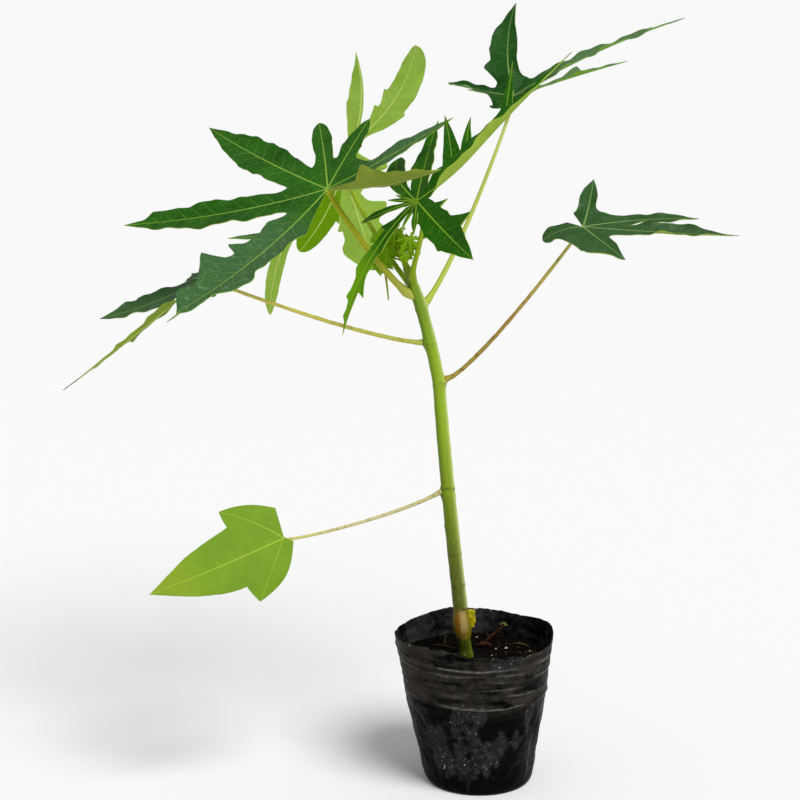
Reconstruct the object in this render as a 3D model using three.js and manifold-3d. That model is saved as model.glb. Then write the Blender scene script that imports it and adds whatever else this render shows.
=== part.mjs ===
// Papaya seedling with lobed leaves in a soft black nursery pot.
// Millimetres, +Z up. The origin is the middle of the pot's flat underside;
// -Y is the side the plant is seen from and +X is to its right.
// Bearings are degrees counter-clockwise from +X, seen from above.

import * as THREE from 'three';
import Module from 'manifold-3d';

const { Manifold, Mesh: SolidMesh } = await startSolids();

async function startSolids() {
  const wasm = await Module();
  wasm.setup();
  return wasm;
}

// Clear space left between neighbouring pieces
const SEAT = 0.3;

// Pot: a thin film bag with a flat underside, a rounded foot and a wavy rim.
// Each rim wave has its count round the rim, its height and a bearing where it is highest
const POT = {
  baseRadius: 28.5,
  footRadius: 31,
  footHeight: 3,
  footRound: 0.8,
  middleRadius: 39.2,
  middleHeight: 45,
  rimRadius: 45,
  height: 86.9,
  film: 1.0,
  rimShiftX: -3.5,
  wallHeights: [24, 45, 66],
  rimWaves: [
    { count: 1, height: 1.6, bearing: 200 },
    { count: 2, height: 1.2, bearing: 67 },
    { count: 3, height: 0.5, bearing: 100 },
  ],
  sides: 48,
};

// Soil: fills the pot to a level a little under the rim
const SOIL = {
  level: 73.5,
  mound: 1.6,
  crownShare: 0.5,
  sides: 40,
};

// Stem: leans to the left, bends near the top, and swells where it was grafted.
// "graftFall" is how far the swelling falls again by its top, as a share of a half wave,
// and "taperFrom" is the share of the height above it where the tip begins to taper
const STEM = {
  foot: [-7.8, -2, 73.5],
  footHandle: [-13.2, -1, 121],
  middleHandle: [-20.2, 0, 184],
  middle: [-23.6, 0, 231],
  upperHandle: [-27, 0, 251],
  tipHandle: [-33.5, 0, 277],
  tip: [-41.5, 0, 296],
  footFlare: 0.9,
  footFlareHeight: 4,
  rootstockRadius: 3.8,
  graftRadius: 5.2,
  graftBottom: 83.5,
  graftTop: 101.3,
  lowerRadius: 4.1,
  upperRadius: 3.2,
  tipRadius: 2.3,
  graftFall: 0.86,
  taperFrom: 0.9,
  sides: 16,
  steps: 40,
};

// Graft tape: a small folded tab on the right of the graft
const TAPE = {
  width: 3.8,
  depth: 4.6,
  height: 8.6,
  corner: 0.9,
  middleHeight: 95,
};

// Leaf blades: thickness as a share of the span between the furthest tips, and the
// number of rows from web to tip in each lobe. The next values are shares: of a lobe
// that the web takes at most, over which the roll and the edges come in, and of the
// breadth and of the web that the blade takes beside the petiole
const BLADE = {
  thicknessShare: 0.01,
  leastThickness: 1.2,
  rows: 10,
  mostWeb: 0.8,
  rollOver: 0.3,
  easeOver: 0.2,
  besideBreadth: 0.4,
  besideWeb: 0.3,
  midribPieces: 12,
  petioleSides: 10,
  petioleSteps: 20,
};

// One lobe: bearing and reach of its tip, full breadth, and its bends in degrees.
// "roll" turns it about its midrib, left edge up. Where "bulge" is given the edges
// run straight from notch to tip and bulge by that share of their length. "notch"
// is the bearing and distance of the notch on its left
function lobe(bearing, reach, breadth, bends = {}) {
  const plain = { rise: 0, droop: 0, sweep: 0, roll: 0, fold: 12, widest: 0.38, point: 1.15, teeth: [] };
  return { bearing, reach, breadth, ...plain, ...bends };
}

// Lance shape of a lobe: how it starts and how full it is beyond its widest place
const LANCE = { start: 0.35, fill: 0.8 };

// Side teeth: shares of the lobe they take before and after the point, and how far
// they stand out and reach forward for their length
const TOOTH = { before: 0.12, after: 0.08, out: 0.8, forward: 0.6 };

// One side tooth: row share from web to tip, side (1 left, -1 right) and length
function tooth(share, side, length) {
  return { share, side, length };
}

// Leaves: the hub is where the petiole meets the blade; the blade's upper face
// leans by "lean" degrees towards the bearing "leanTo"; "web" is the distance
// from the hub to the notches between lobes; "shoulders" are the bearings and
// distances of the blade's corners on either side of the petiole
const LEAVES = [
  {
    name: 'lower_left', hub: [-109, -20, 148.4], lean: 55, leanTo: 280, web: 27, colour: 0x73a537,
    petiole: { height: 170, bearing: 195, climb: -22, base: 1.4, end: 0.9, out: 26, in: 12, colour: 0xc8c196 },
    shoulders: [[111, 19], [291, 17]],
    lobes: [
      lobe(154, 39, 13, { sweep: 20, bulge: 0.06, notch: [176, 32] }),
      lobe(213, 81, 33, { sweep: -5, web: 34, widest: 0.05, fold: 4, notch: [240, 35] }),
      lobe(257, 38, 12, { sweep: -8, bulge: 0.08 }),
    ],
  },
  {
    name: 'right', hub: [53.7, -5, 318.9], lean: 22, leanTo: 272, web: 15, colour: 0x4a6b4c,
    petiole: { height: 233, bearing: 350, climb: 23, base: 1.8, end: 1.2, out: 19, in: 5, colour: 0x8f7d45 },
    lobes: [
      lobe(187, 25, 13, { rise: 5, droop: 44, sweep: 7, point: 0.8 }),
      lobe(302, 35, 20, { droop: 11, sweep: 10, widest: 0.2 }),
      lobe(352, 84, 13, { droop: -2, sweep: 3, fold: 28, widest: 0.55, web: 22 }),
      lobe(19, 67, 10, { droop: 6, sweep: -10, web: 22 }),
      lobe(75, 41, 12, { rise: 10, sweep: 7, teeth: [tooth(0.1, 1, 5)] }),
    ],
  },
  {
    name: 'upper_right', hub: [17.9, 40, 385], lean: 12, leanTo: 205, web: 14, colour: 0x426a44,
    petiole: { height: 272, bearing: 30, climb: 48, base: 2.1, end: 1.3, out: 32, in: 6, colour: 0xb9c06e },
    lobes: [
      lobe(175, 24, 9, { droop: 20 }),
      lobe(267, 20, 14, { droop: 30 }),
      lobe(338, 69, 12, { rise: 12, droop: 4, fold: 30, teeth: [tooth(0.4, 1, 3)] }),
      lobe(18, 105, 11, {
        rise: 17, droop: 10, sweep: -18, fold: 26,
        teeth: [tooth(0.6, 1, 3), tooth(0.7, -1, 5), tooth(0.3, 1, 4)],
      }),
      lobe(96, 62, 18, { rise: 48, droop: 8, sweep: -34, teeth: [tooth(0.2, 1, 4)] }),
      lobe(140, 46, 10, { rise: 9, droop: -4, point: 0.8, fold: 20 }),
    ],
  },
  {
    name: 'left_large', hub: [-84.4, 5, 338.1], lean: 32, leanTo: 245, web: 27, colour: 0x1f5c22,
    petiole: { height: 284, bearing: 195, climb: 56, base: 2.3, end: 1.6, out: 14, in: 10, colour: 0x9a9c44 },
    lobes: [
      lobe(319, 75, 20, { rise: 14, droop: -1, sweep: 32, roll: -40, fold: 26, widest: 0.15 }),
      lobe(18, 79, 10, { rise: 8, fold: 18 }),
      lobe(67, 62, 12, { sweep: -4, point: 0.7, fold: 6 }),
      lobe(90, 63, 12, { sweep: 5, point: 0.6, fold: 6 }),
      lobe(134, 107, 25, { sweep: -8, fold: 6 }),
      lobe(190, 113, 22, { droop: -8, sweep: -17, widest: 0.5, teeth: [tooth(0.8, -1, 2)] }),
      lobe(235, 121, 24, {
        droop: -8, sweep: -15, widest: 0.5, point: 0.8,
        teeth: [tooth(0.4, -1, 5), tooth(0.6, -1, 13), tooth(0.1, 1, 5)],
      }),
    ],
  },
  {
    name: 'back', hub: [-78.1, 90, 338.6], lean: 68, leanTo: 95, web: 18, colour: 0x8cae48,
    petiole: { height: 287, bearing: 120, climb: 20, base: 1.9, end: 1.4, out: 10, in: 24, colour: 0x93a946 },
    lobes: [
      lobe(298, 76, 11, { sweep: -37 }),
      lobe(325, 92, 17, { droop: 4, sweep: -45, point: 0.6, widest: 0.6, teeth: [tooth(0.2, -1, 3)] }),
      lobe(3, 38, 9, { point: 0.7 }),
      lobe(43, 35, 9, { sweep: 5, point: 0.4, widest: 0.6 }),
      lobe(80, 69, 24, {
        sweep: -6, point: 0.6, widest: 0.66,
        teeth: [tooth(0.3, 1, 4), tooth(0.6, 1, 3), tooth(0.5, -1, 3)],
      }),
      lobe(106, 63, 14, { sweep: 34 }),
      lobe(135, 115, 12, { rise: 13, droop: 14, sweep: -34 }),
    ],
  },
  {
    name: 'centre', hub: [-36, -15, 334.5], lean: 50, leanTo: 215, web: 8, colour: 0x175f10,
    petiole: { height: 291, bearing: 300, climb: 25, base: 1.8, end: 1.2, out: 6, in: 16, colour: 0x9fb04a },
    lobes: [
      lobe(185, 87, 9, {
        rise: -2, droop: 32, sweep: 17, widest: 0.5,
        teeth: [tooth(0.4, 1, 3), tooth(0.6, -1, 3), tooth(0.6, 1, 5), tooth(0.3, -1, 3)],
      }),
      lobe(243, 20, 5),
      lobe(283, 69, 18, {
        droop: 10, sweep: 4, widest: 0.55,
        teeth: [tooth(0.2, 1, 9), tooth(0.5, 1, 14), tooth(0.3, -1, 4)],
      }),
      lobe(13, 114, 10, {
        rise: -8, droop: -10, sweep: 2, fold: 52, widest: 0.3,
        teeth: [tooth(0.2, 1, 13), tooth(0.4, 1, 9), tooth(0.6, 1, 9), tooth(0.8, -1, 3)],
      }),
      lobe(82, 74, 11, { rise: -8, sweep: -17 }),
      lobe(112, 28, 6),
      lobe(147, 42, 6, { droop: 5, sweep: 10 }),
    ],
  },
  {
    name: 'far_left', hub: [-155.2, 30, 283.6], lean: 28, leanTo: 240, web: 13, colour: 0x527352,
    petiole: { height: 255, bearing: 172, climb: 29, base: 1.7, end: 1.3, out: 29, in: 5, colour: 0xbcb36a },
    lobes: [
      lobe(25, 38, 12, { droop: 10 }),
      lobe(65, 27, 11, { droop: 20 }),
      lobe(108, 22, 10, { droop: 20 }),
      lobe(155, 19, 9, { droop: 20 }),
      lobe(207, 62, 17, { droop: -6, sweep: -19, widest: 0.5 }),
      lobe(231, 107, 8, { droop: -3, sweep: -8, roll: 70, fold: 16 }),
      lobe(290, 18, 10, { droop: 20 }),
    ],
  },
];

// Shoot tip: young leaves round the growing point, one fused mass. Each young leaf
// has its bearing and size, and they keep clear of the petioles. Stalk, web, breadth
// and tooth lengths are shares of the petiole's length or of a lobe's reach
const SHOOT = {
  axisRadius: 2.0,
  axisEnd: 0.8,
  axisLength: 11,
  axisSteps: 4,
  axisSides: 10,
  rootFrom: 0.3,
  rootStep: 0.15,
  leaves: [[150, 1.2], [62, 0.75], [20, 0.6]],
  petioleLength: 19,
  petioleRadius: 0.8,
  petioleSides: 7,
  petioleSteps: 6,
  hubOut: 0.5,
  hubUp: 0.72,
  footHandle: 0.35,
  hubHandle: 0.3,
  bladeReach: 17,
  bladeThickness: 1.0,
  web: 0.25,
  breadth: 0.34,
  droop: 25,
  toothPlace: 0.4,
  toothLength: 0.12,
  lean: 58,
  lobeBearings: [-105, -52, 0, 52, 105],
  lobeShares: [0.5, 0.8, 1, 0.8, 0.5],
  rows: 5,
};

const rad = THREE.MathUtils.degToRad;
const vec = (x, y, z) => new THREE.Vector3(x, y, z);

// A closed skin from points and triangles
function skin(points, faces) {
  const geometry = new THREE.BufferGeometry();
  geometry.setAttribute('position', new THREE.Float32BufferAttribute(points.flatMap((p) => [p.x, p.y, p.z]), 3));
  geometry.setIndex(faces.flat());
  geometry.computeVertexNormals();
  return geometry;
}

// A closed skin over rings of points, with a flat cap at each end
function loft(rings) {
  const points = [];
  const faces = [];
  const sides = rings[0].length;
  for (const ring of rings) points.push(...ring);
  for (let row = 0; row + 1 < rings.length; row += 1) {
    for (let side = 0; side < sides; side += 1) {
      const a = row * sides + side;
      const b = row * sides + ((side + 1) % sides);
      faces.push([a, b, b + sides], [a, b + sides, a + sides]);
    }
  }
  for (const [row, flip] of [[0, true], [rings.length - 1, false]]) {
    const middle = points.length;
    const centre = vec(0, 0, 0);
    for (const p of rings[row]) centre.addScaledVector(p, 1 / sides);
    points.push(centre);
    for (let side = 0; side < sides; side += 1) {
      const a = row * sides + side;
      const b = row * sides + ((side + 1) % sides);
      faces.push(flip ? [middle, b, a] : [middle, a, b]);
    }
  }
  return skin(points, faces);
}

// Rings of a tapering limb along a curve; radiusAt takes the share and the point
function limbRings(curve, steps, sides, radiusAt) {
  const frames = curve.computeFrenetFrames(steps, false);
  const rings = [];
  for (let step = 0; step <= steps; step += 1) {
    const share = step / steps;
    const middle = curve.getPointAt(share);
    const radius = radiusAt(share, middle);
    const ring = [];
    for (let side = 0; side < sides; side += 1) {
      const angle = (2 * Math.PI * side) / sides;
      ring.push(middle.clone()
        .addScaledVector(frames.normals[step], radius * Math.cos(angle))
        .addScaledVector(frames.binormals[step], radius * Math.sin(angle)));
    }
    rings.push(ring);
  }
  return rings;
}

// Pot film: out over the underside, up the wall, over the rim and down inside
function wallRadius(z) {
  const { lerp } = THREE.MathUtils;
  if (z < POT.footHeight) return lerp(POT.baseRadius, POT.footRadius, Math.sqrt(z / POT.footHeight));
  if (z < POT.middleHeight) {
    return lerp(POT.footRadius, POT.middleRadius, (z - POT.footHeight) / (POT.middleHeight - POT.footHeight));
  }
  return lerp(POT.middleRadius, POT.rimRadius, (z - POT.middleHeight) / (POT.height - POT.middleHeight));
}

function rimHeight(angle) {
  let height = POT.height;
  for (const wave of POT.rimWaves) height += wave.height * Math.cos(wave.count * (angle - rad(wave.bearing)));
  return height;
}

function potRing(radius, heightAt, sides) {
  const ring = [];
  for (let side = 0; side < sides; side += 1) {
    const angle = (2 * Math.PI * side) / sides;
    const z = heightAt(angle);
    ring.push(vec(radius * Math.cos(angle) + POT.rimShiftX * (z / POT.height), radius * Math.sin(angle), z));
  }
  return ring;
}

function level(z) {
  return () => z;
}

function potGeometry() {
  const outside = [0, POT.footRound, POT.footHeight, ...POT.wallHeights];
  const inside = [...POT.wallHeights.toReversed(), POT.footHeight + POT.film];
  const rings = outside.map((z) => potRing(wallRadius(z), level(z), POT.sides));
  rings.push(potRing(POT.rimRadius, rimHeight, POT.sides));
  rings.push(potRing(POT.rimRadius - POT.film, rimHeight, POT.sides));
  for (const z of inside) rings.push(potRing(wallRadius(z) - POT.film, level(z), POT.sides));
  rings.push(potRing(POT.baseRadius - POT.film, level(POT.film), POT.sides));
  return loft(rings);
}

// Soil
function soilGeometry() {
  const clear = POT.film + 2 * SEAT;
  const edge = SOIL.level - SOIL.mound - SEAT;
  const bottom = POT.footHeight + POT.film + SEAT;
  const rings = [potRing(POT.baseRadius - clear, level(POT.film + SEAT), SOIL.sides)];
  for (const z of [bottom, ...POT.wallHeights, edge]) {
    rings.push(potRing(wallRadius(z) - clear, level(z), SOIL.sides));
  }
  rings.push(potRing(wallRadius(edge) * SOIL.crownShare, level(SOIL.level - SEAT), SOIL.sides));
  return loft(rings);
}

// Stem
function stemCurve() {
  const path = new THREE.CurvePath();
  path.add(new THREE.CubicBezierCurve3(
    vec(...STEM.foot), vec(...STEM.footHandle), vec(...STEM.middleHandle), vec(...STEM.middle)));
  path.add(new THREE.CubicBezierCurve3(
    vec(...STEM.middle), vec(...STEM.upperHandle), vec(...STEM.tipHandle), vec(...STEM.tip)));
  return path;
}

function stemRadius(z) {
  const foot = STEM.foot[2];
  if (z < STEM.graftBottom) {
    const flare = Math.max(0, 1 - (z - foot) / STEM.footFlareHeight);
    return STEM.rootstockRadius + STEM.footFlare * flare;
  }
  if (z < STEM.graftTop) {
    const share = (z - STEM.graftBottom) / (STEM.graftTop - STEM.graftBottom);
    return THREE.MathUtils.lerp(STEM.rootstockRadius, STEM.graftRadius, Math.sin(Math.PI * Math.min(STEM.graftFall, share)));
  }
  const share = (z - STEM.graftTop) / (STEM.tip[2] - STEM.graftTop);
  const radius = THREE.MathUtils.lerp(STEM.lowerRadius, STEM.upperRadius, share);
  const tipShare = Math.max(0, (share - STEM.taperFrom) / (1 - STEM.taperFrom));
  return THREE.MathUtils.lerp(radius, STEM.tipRadius, tipShare);
}

function stemGeometry() {
  const rings = limbRings(stemCurve(), STEM.steps, STEM.sides, (share, middle) => stemRadius(middle.z));
  const along = stemCurve().getTangentAt(0);
  for (const p of rings[0]) p.addScaledVector(along, (STEM.foot[2] - p.z) / along.z);
  return loft(rings);
}

function stemAt(height) {
  const curve = stemCurve();
  let low = 0;
  let high = 1;
  for (let step = 0; step < 40; step += 1) {
    const share = (low + high) / 2;
    if (curve.getPointAt(share).z < height) low = share;
    else high = share;
  }
  return { middle: curve.getPointAt(low), along: curve.getTangentAt(low) };
}

// Graft tape
function tapeGeometry() {
  const half = new THREE.Shape();
  const c = TAPE.corner;
  const w = TAPE.width / 2;
  const d = TAPE.depth / 2;
  half.moveTo(-w, -d);
  half.lineTo(w - c, -d);
  half.lineTo(w, -d + c);
  half.lineTo(w, d - c);
  half.lineTo(w - c, d);
  half.lineTo(-w, d);
  half.closePath();
  const geometry = new THREE.ExtrudeGeometry(half, { depth: TAPE.height, bevelEnabled: false });
  const foot = TAPE.middleHeight - TAPE.height / 2;
  const { middle } = stemAt(foot);
  return geometry.translate(middle.x + STEM.graftRadius + SEAT + w, middle.y, foot);
}

// Leaf frame: turns the level blade so that its upper face leans to a bearing
function bladeTurn(leaf) {
  const axis = vec(-Math.sin(rad(leaf.leanTo)), Math.cos(rad(leaf.leanTo)), 0);
  return new THREE.Quaternion().setFromAxisAngle(axis, rad(leaf.lean));
}

// Direction, left side and upper side of a lobe's midrib at a share of its length
function midribFrame(part, share) {
  const climb = rad(part.rise - part.droop * share);
  const heading = rad(part.bearing + part.sweep * share);
  const along = vec(Math.cos(climb) * Math.cos(heading), Math.cos(climb) * Math.sin(heading), Math.sin(climb));
  const level = vec(-Math.sin(heading), Math.cos(heading), 0);
  const left = level.applyAxisAngle(along, rad(part.roll) * Math.min(1, share / BLADE.rollOver));
  return { along, left, up: along.clone().cross(left) };
}

// Point of a lobe's midrib at a share of its length
function midribPoint(part, share) {
  const pieces = BLADE.midribPieces;
  const point = vec(0, 0, 0);
  for (let piece = 0; piece < pieces; piece += 1) {
    const { along } = midribFrame(part, ((piece + 0.5) / pieces) * share);
    point.addScaledVector(along, (share * part.reach) / pieces);
  }
  return point;
}

// Share of a lobe's full breadth: widest part way along, then drawn to its tip
function lanceShare(part, share) {
  if (share < part.widest) {
    const fall = (part.widest - share) / (part.widest + LANCE.start);
    return 1 - fall * fall;
  }
  const rest = (1 - share) / (1 - part.widest);
  return rest ** part.point * (2 - rest) ** LANCE.fill;
}

// Edge point of a straight-sided lobe, from its notch to its tip
function straightEdge(part, side, notch, share) {
  const run = midribPoint(part, 1).sub(notch);
  const out = vec(-run.y, run.x, 0).multiplyScalar(side * part.bulge * Math.sin(Math.PI * share));
  return notch.clone().addScaledVector(run, share).add(out);
}

// Edge point of a lobe beyond its web
function edgePoint(part, side, webShare, notch, share) {
  if (part.bulge !== undefined) return straightEdge(part, side, notch, share);
  const webHalf = notch.distanceTo(midribPoint(part, webShare));
  const whole = webShare + (1 - webShare) * share;
  const frame = midribFrame(part, whole);
  const point = midribPoint(part, whole);
  const blend = Math.min(1, share / BLADE.easeOver);
  let half = THREE.MathUtils.lerp(webHalf, (part.breadth / 2) * lanceShare(part, share), blend);
  let forward = 0;
  for (const spur of part.teeth.filter((each) => each.side === side)) {
    const away = share - spur.share;
    const height = Math.max(0, 1 - Math.abs(away) / (away < 0 ? TOOTH.before : TOOTH.after));
    half += spur.length * TOOTH.out * height;
    forward += spur.length * TOOTH.forward * height;
  }
  const fold = rad(part.fold) * Math.min(blend, (1 - share) / BLADE.easeOver);
  point.addScaledVector(frame.left, side * half * Math.cos(fold));
  point.addScaledVector(frame.up, half * Math.sin(fold));
  return point.addScaledVector(frame.along, forward);
}

// Level point at a bearing and distance from the hub
function polar([bearing, distance]) {
  return vec(distance * Math.cos(rad(bearing)), distance * Math.sin(rad(bearing)), 0);
}

// Notch between two neighbouring lobes: parts the angle in proportion to breadth
function notchPoint(first, second, firstWeb, secondWeb) {
  if (first.notch) return polar(first.notch);
  const gap = (second.bearing - first.bearing + 360) % 360;
  const share = first.breadth / (first.breadth + second.breadth);
  const bearing = rad(first.bearing + gap * share);
  const radius = (firstWeb * first.reach + secondWeb * second.reach) / 2;
  const height = (midribPoint(first, firstWeb).z + midribPoint(second, secondWeb).z) / 2;
  return vec(radius * Math.cos(bearing), radius * Math.sin(bearing), height);
}

// Blade: lobes as strips from the hub to each tip, sharing their notch points
function bladeGeometry(leaf, thickness, rows) {
  const points = [vec(0, 0, 0)];
  const faces = [];
  const add = (p) => points.push(p) - 1;
  const lobes = leaf.lobes;
  const webShares = lobes.map((part) => Math.min(BLADE.mostWeb, (part.web ?? leaf.web) / part.reach));
  const notches = [];
  for (let index = 0; index + 1 < lobes.length; index += 1) {
    notches.push(add(notchPoint(lobes[index], lobes[index + 1], webShares[index], webShares[index + 1])));
  }
  lobes.forEach((part, index) => {
    const webShare = webShares[index];
    const middle = midribPoint(part, webShare);
    const frame = midribFrame(part, webShare);
    const basal = (side) => {
      if (leaf.shoulders) return add(polar(leaf.shoulders[side < 0 ? 0 : 1]));
      const half = Math.min(part.breadth * BLADE.besideBreadth, leaf.web * BLADE.besideWeb);
      return add(middle.clone().addScaledVector(frame.left, side * half));
    };
    const right = index > 0 ? notches[index - 1] : basal(-1);
    const left = index + 1 < lobes.length ? notches[index] : basal(1);
    let row = [right, add(middle), left];
    faces.push([0, row[0], row[1]], [0, row[1], row[2]]);
    for (let step = 1; step < rows; step += 1) {
      const share = step / rows;
      const next = [
        add(edgePoint(part, -1, webShare, points[right], share)),
        add(midribPoint(part, webShare + (1 - webShare) * share)),
        add(edgePoint(part, 1, webShare, points[left], share)),
      ];
      for (const c of [0, 1]) {
        faces.push([row[c], next[c], next[c + 1]], [row[c], next[c + 1], row[c + 1]]);
      }
      row = next;
    }
    const tip = add(midribPoint(part, 1));
    faces.push([row[0], tip, row[1]], [row[1], tip, row[2]]);
  });
  return thickened(points, faces, thickness);
}

function bladeThickness(leaf) {
  const tips = leaf.lobes.map((part) => midribPoint(part, 1));
  let span = 0;
  for (const one of tips) for (const other of tips) span = Math.max(span, one.distanceTo(other));
  return Math.max(BLADE.leastThickness, BLADE.thicknessShare * span);
}

// An open sheet given thickness: two faces and a rim between them
function thickened(points, faces, thickness) {
  const normals = points.map(() => vec(0, 0, 0));
  for (const [a, b, c] of faces) {
    const ab = points[b].clone().sub(points[a]);
    const ac = points[c].clone().sub(points[a]);
    const normal = ab.cross(ac);
    for (const corner of [a, b, c]) normals[corner].add(normal);
  }
  const count = points.length;
  const solid = [];
  for (const side of [1, -1]) {
    points.forEach((p, index) => {
      solid.push(p.clone().addScaledVector(normals[index].clone().normalize(), (side * thickness) / 2));
    });
  }
  const edges = new Map();
  for (const [a, b, c] of faces) {
    for (const [from, to] of [[a, b], [b, c], [c, a]]) {
      const back = `${to},${from}`;
      if (edges.has(back)) edges.delete(back);
      else edges.set(`${from},${to}`, [from, to]);
    }
  }
  const all = [];
  for (const [a, b, c] of faces) all.push([a, b, c], [c + count, b + count, a + count]);
  for (const [from, to] of edges.values()) {
    all.push([from, from + count, to + count], [from, to + count, to]);
  }
  return skin(solid, all);
}

// Petiole: leaves the stem at its own climb, bends, and meets the hub from below
function petioleCurve(leaf) {
  const { height, bearing, climb, base, out } = leaf.petiole;
  const { middle, along } = stemAt(height);
  const level = vec(Math.cos(rad(bearing)), Math.sin(rad(bearing)), 0);
  const away = level.addScaledVector(along, -level.dot(along)).normalize();
  const heading = away.clone().multiplyScalar(Math.cos(rad(climb))).addScaledVector(along, Math.sin(rad(climb)));
  const start = middle.addScaledVector(away, stemRadius(height) + SEAT + base * Math.abs(Math.sin(rad(climb))));
  const under = vec(0, 0, -1).applyQuaternion(bladeTurn(leaf));
  const end = vec(...leaf.hub).addScaledVector(under, bladeThickness(leaf) / 2 + SEAT);
  return new THREE.CubicBezierCurve3(
    start,
    start.clone().addScaledVector(heading, out),
    end.clone().addScaledVector(under, leaf.petiole.in),
    end,
  );
}

function petioleGeometry(leaf) {
  const { base, end } = leaf.petiole;
  const rings = limbRings(petioleCurve(leaf), BLADE.petioleSteps, BLADE.petioleSides,
    (share) => end + (base - end) * (1 - share) ** 1.5);
  return loft(rings);
}

// Shoot tip
function solidOf(geometry) {
  return new Manifold(new SolidMesh({
    numProp: 3,
    vertProperties: new Float32Array(geometry.attributes.position.array),
    triVerts: new Uint32Array(geometry.index.array),
  }));
}

function geometryOf(solid) {
  const mesh = solid.getMesh();
  const geometry = new THREE.BufferGeometry();
  geometry.setAttribute('position', new THREE.Float32BufferAttribute(mesh.vertProperties, 3));
  geometry.setIndex(Array.from(mesh.triVerts));
  geometry.computeVertexNormals();
  return geometry;
}

function youngLeaf(bearing, size, root) {
  const length = SHOOT.petioleLength * size;
  const level = vec(Math.cos(rad(bearing)), Math.sin(rad(bearing)), 0);
  const hub = root.clone().addScaledVector(level, SHOOT.hubOut * length);
  hub.z += SHOOT.hubUp * length;
  const leaf = {
    lean: SHOOT.lean,
    leanTo: bearing,
    web: SHOOT.web * SHOOT.bladeReach * size,
    lobes: SHOOT.lobeBearings.map((turn, index) => {
      const reach = SHOOT.bladeReach * size * SHOOT.lobeShares[index];
      const teeth = [tooth(SHOOT.toothPlace, 1, SHOOT.toothLength * reach)];
      return lobe(bearing + turn, reach, SHOOT.breadth * reach, { droop: SHOOT.droop, teeth });
    }),
  };
  const stalk = new THREE.CubicBezierCurve3(
    root,
    root.clone().add(vec(0, 0, SHOOT.footHandle * length)),
    hub.clone().add(vec(0, 0, -SHOOT.hubHandle * length)),
    hub,
  );
  const rings = limbRings(stalk, SHOOT.petioleSteps, SHOOT.petioleSides, () => SHOOT.petioleRadius);
  const blade = bladeGeometry(leaf, SHOOT.bladeThickness, SHOOT.rows);
  blade.applyQuaternion(bladeTurn(leaf)).translate(hub.x, hub.y, hub.z);
  return [solidOf(loft(rings)), solidOf(blade)];
}

function shootGeometry() {
  const { middle, along } = stemAt(STEM.tip[2]);
  const foot = middle.clone().addScaledVector(along, SEAT);
  const top = foot.clone().addScaledVector(along, SHOOT.axisLength);
  const axis = limbRings(new THREE.LineCurve3(foot, top), SHOOT.axisSteps, SHOOT.axisSides,
    (share) => THREE.MathUtils.lerp(SHOOT.axisRadius, SHOOT.axisEnd, share));
  const solids = [solidOf(loft(axis))];
  SHOOT.leaves.forEach(([bearing, size], index) => {
    const root = foot.clone().lerp(top, SHOOT.rootFrom + SHOOT.rootStep * index);
    solids.push(...youngLeaf(bearing, size, root));
  });
  return geometryOf(Manifold.union(solids));
}

function finish(name, colour, roughness) {
  const material = new THREE.MeshStandardMaterial({ color: colour, roughness, metalness: 0 });
  material.name = name;
  return material;
}

function piece(name, geometry, material) {
  const mesh = new THREE.Mesh(geometry, material);
  mesh.name = name;
  return mesh;
}

const plant = new THREE.Group();
plant.name = 'potted_papaya_seedling';
plant.add(piece('pot', potGeometry(), finish('pot_film', 0x0c0c0d, 0.35)));
plant.add(piece('soil', soilGeometry(), finish('soil', 0x17110c, 0.95)));
plant.add(piece('stem', stemGeometry(), finish('stem_bark', 0x7c9a3c, 0.6)));
plant.add(piece('graft_tape', tapeGeometry(), finish('tape', 0xc2c434, 0.5)));
for (const leaf of LEAVES) {
  const stalk = `petiole_${leaf.name}`;
  plant.add(piece(stalk, petioleGeometry(leaf), finish(stalk, leaf.petiole.colour, 0.55)));
  const blade = piece(`leaf_${leaf.name}`, bladeGeometry(leaf, bladeThickness(leaf), BLADE.rows),
    finish(`leaf_${leaf.name}`, leaf.colour, 0.5));
  blade.position.set(...leaf.hub);
  blade.quaternion.copy(bladeTurn(leaf));
  plant.add(blade);
}
plant.add(piece('shoot_tip', shootGeometry(), finish('young_leaf', 0x8fb52c, 0.5)));

export default plant;
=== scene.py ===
"""Papaya seedling in a soft black nursery pot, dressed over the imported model.

Sizes are in millimetres in the classes and become metres when a mesh is made. +Z is up, -Y is the
side the plant is seen from and +X is to its right. Bearings are degrees counter-clockwise from +X.
"""

import logging
import math
from dataclasses import dataclass, field, replace
from enum import Enum
from typing import Optional, Sequence, Union

import bpy
import numpy as np
from mathutils import Matrix, Vector, noise


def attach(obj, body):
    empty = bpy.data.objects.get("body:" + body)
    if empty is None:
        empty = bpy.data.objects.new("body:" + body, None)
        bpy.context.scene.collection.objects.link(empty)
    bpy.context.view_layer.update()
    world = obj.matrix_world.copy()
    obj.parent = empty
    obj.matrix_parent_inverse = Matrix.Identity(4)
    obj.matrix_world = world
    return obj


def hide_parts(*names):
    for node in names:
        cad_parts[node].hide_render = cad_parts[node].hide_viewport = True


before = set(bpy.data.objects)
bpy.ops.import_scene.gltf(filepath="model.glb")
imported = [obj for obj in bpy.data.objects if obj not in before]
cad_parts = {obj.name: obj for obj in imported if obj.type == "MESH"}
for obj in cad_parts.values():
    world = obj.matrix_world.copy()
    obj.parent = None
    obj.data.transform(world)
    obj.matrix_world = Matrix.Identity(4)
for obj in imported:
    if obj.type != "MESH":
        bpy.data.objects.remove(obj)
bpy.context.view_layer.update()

MM = 0.001
BODY = "root"
SHEEN = "Specular IOR Level"
ALL_SMOOTH = 180.0
LOG = logging.getLogger("papaya_seedling")

# Millimetres between the bark and the outer part of a leaf stalk
FOOT_GAP = 0.3
# Millimetres that a midrib stands out below the blade at the hub
VEIN_RIDGE = 0.5
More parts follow.
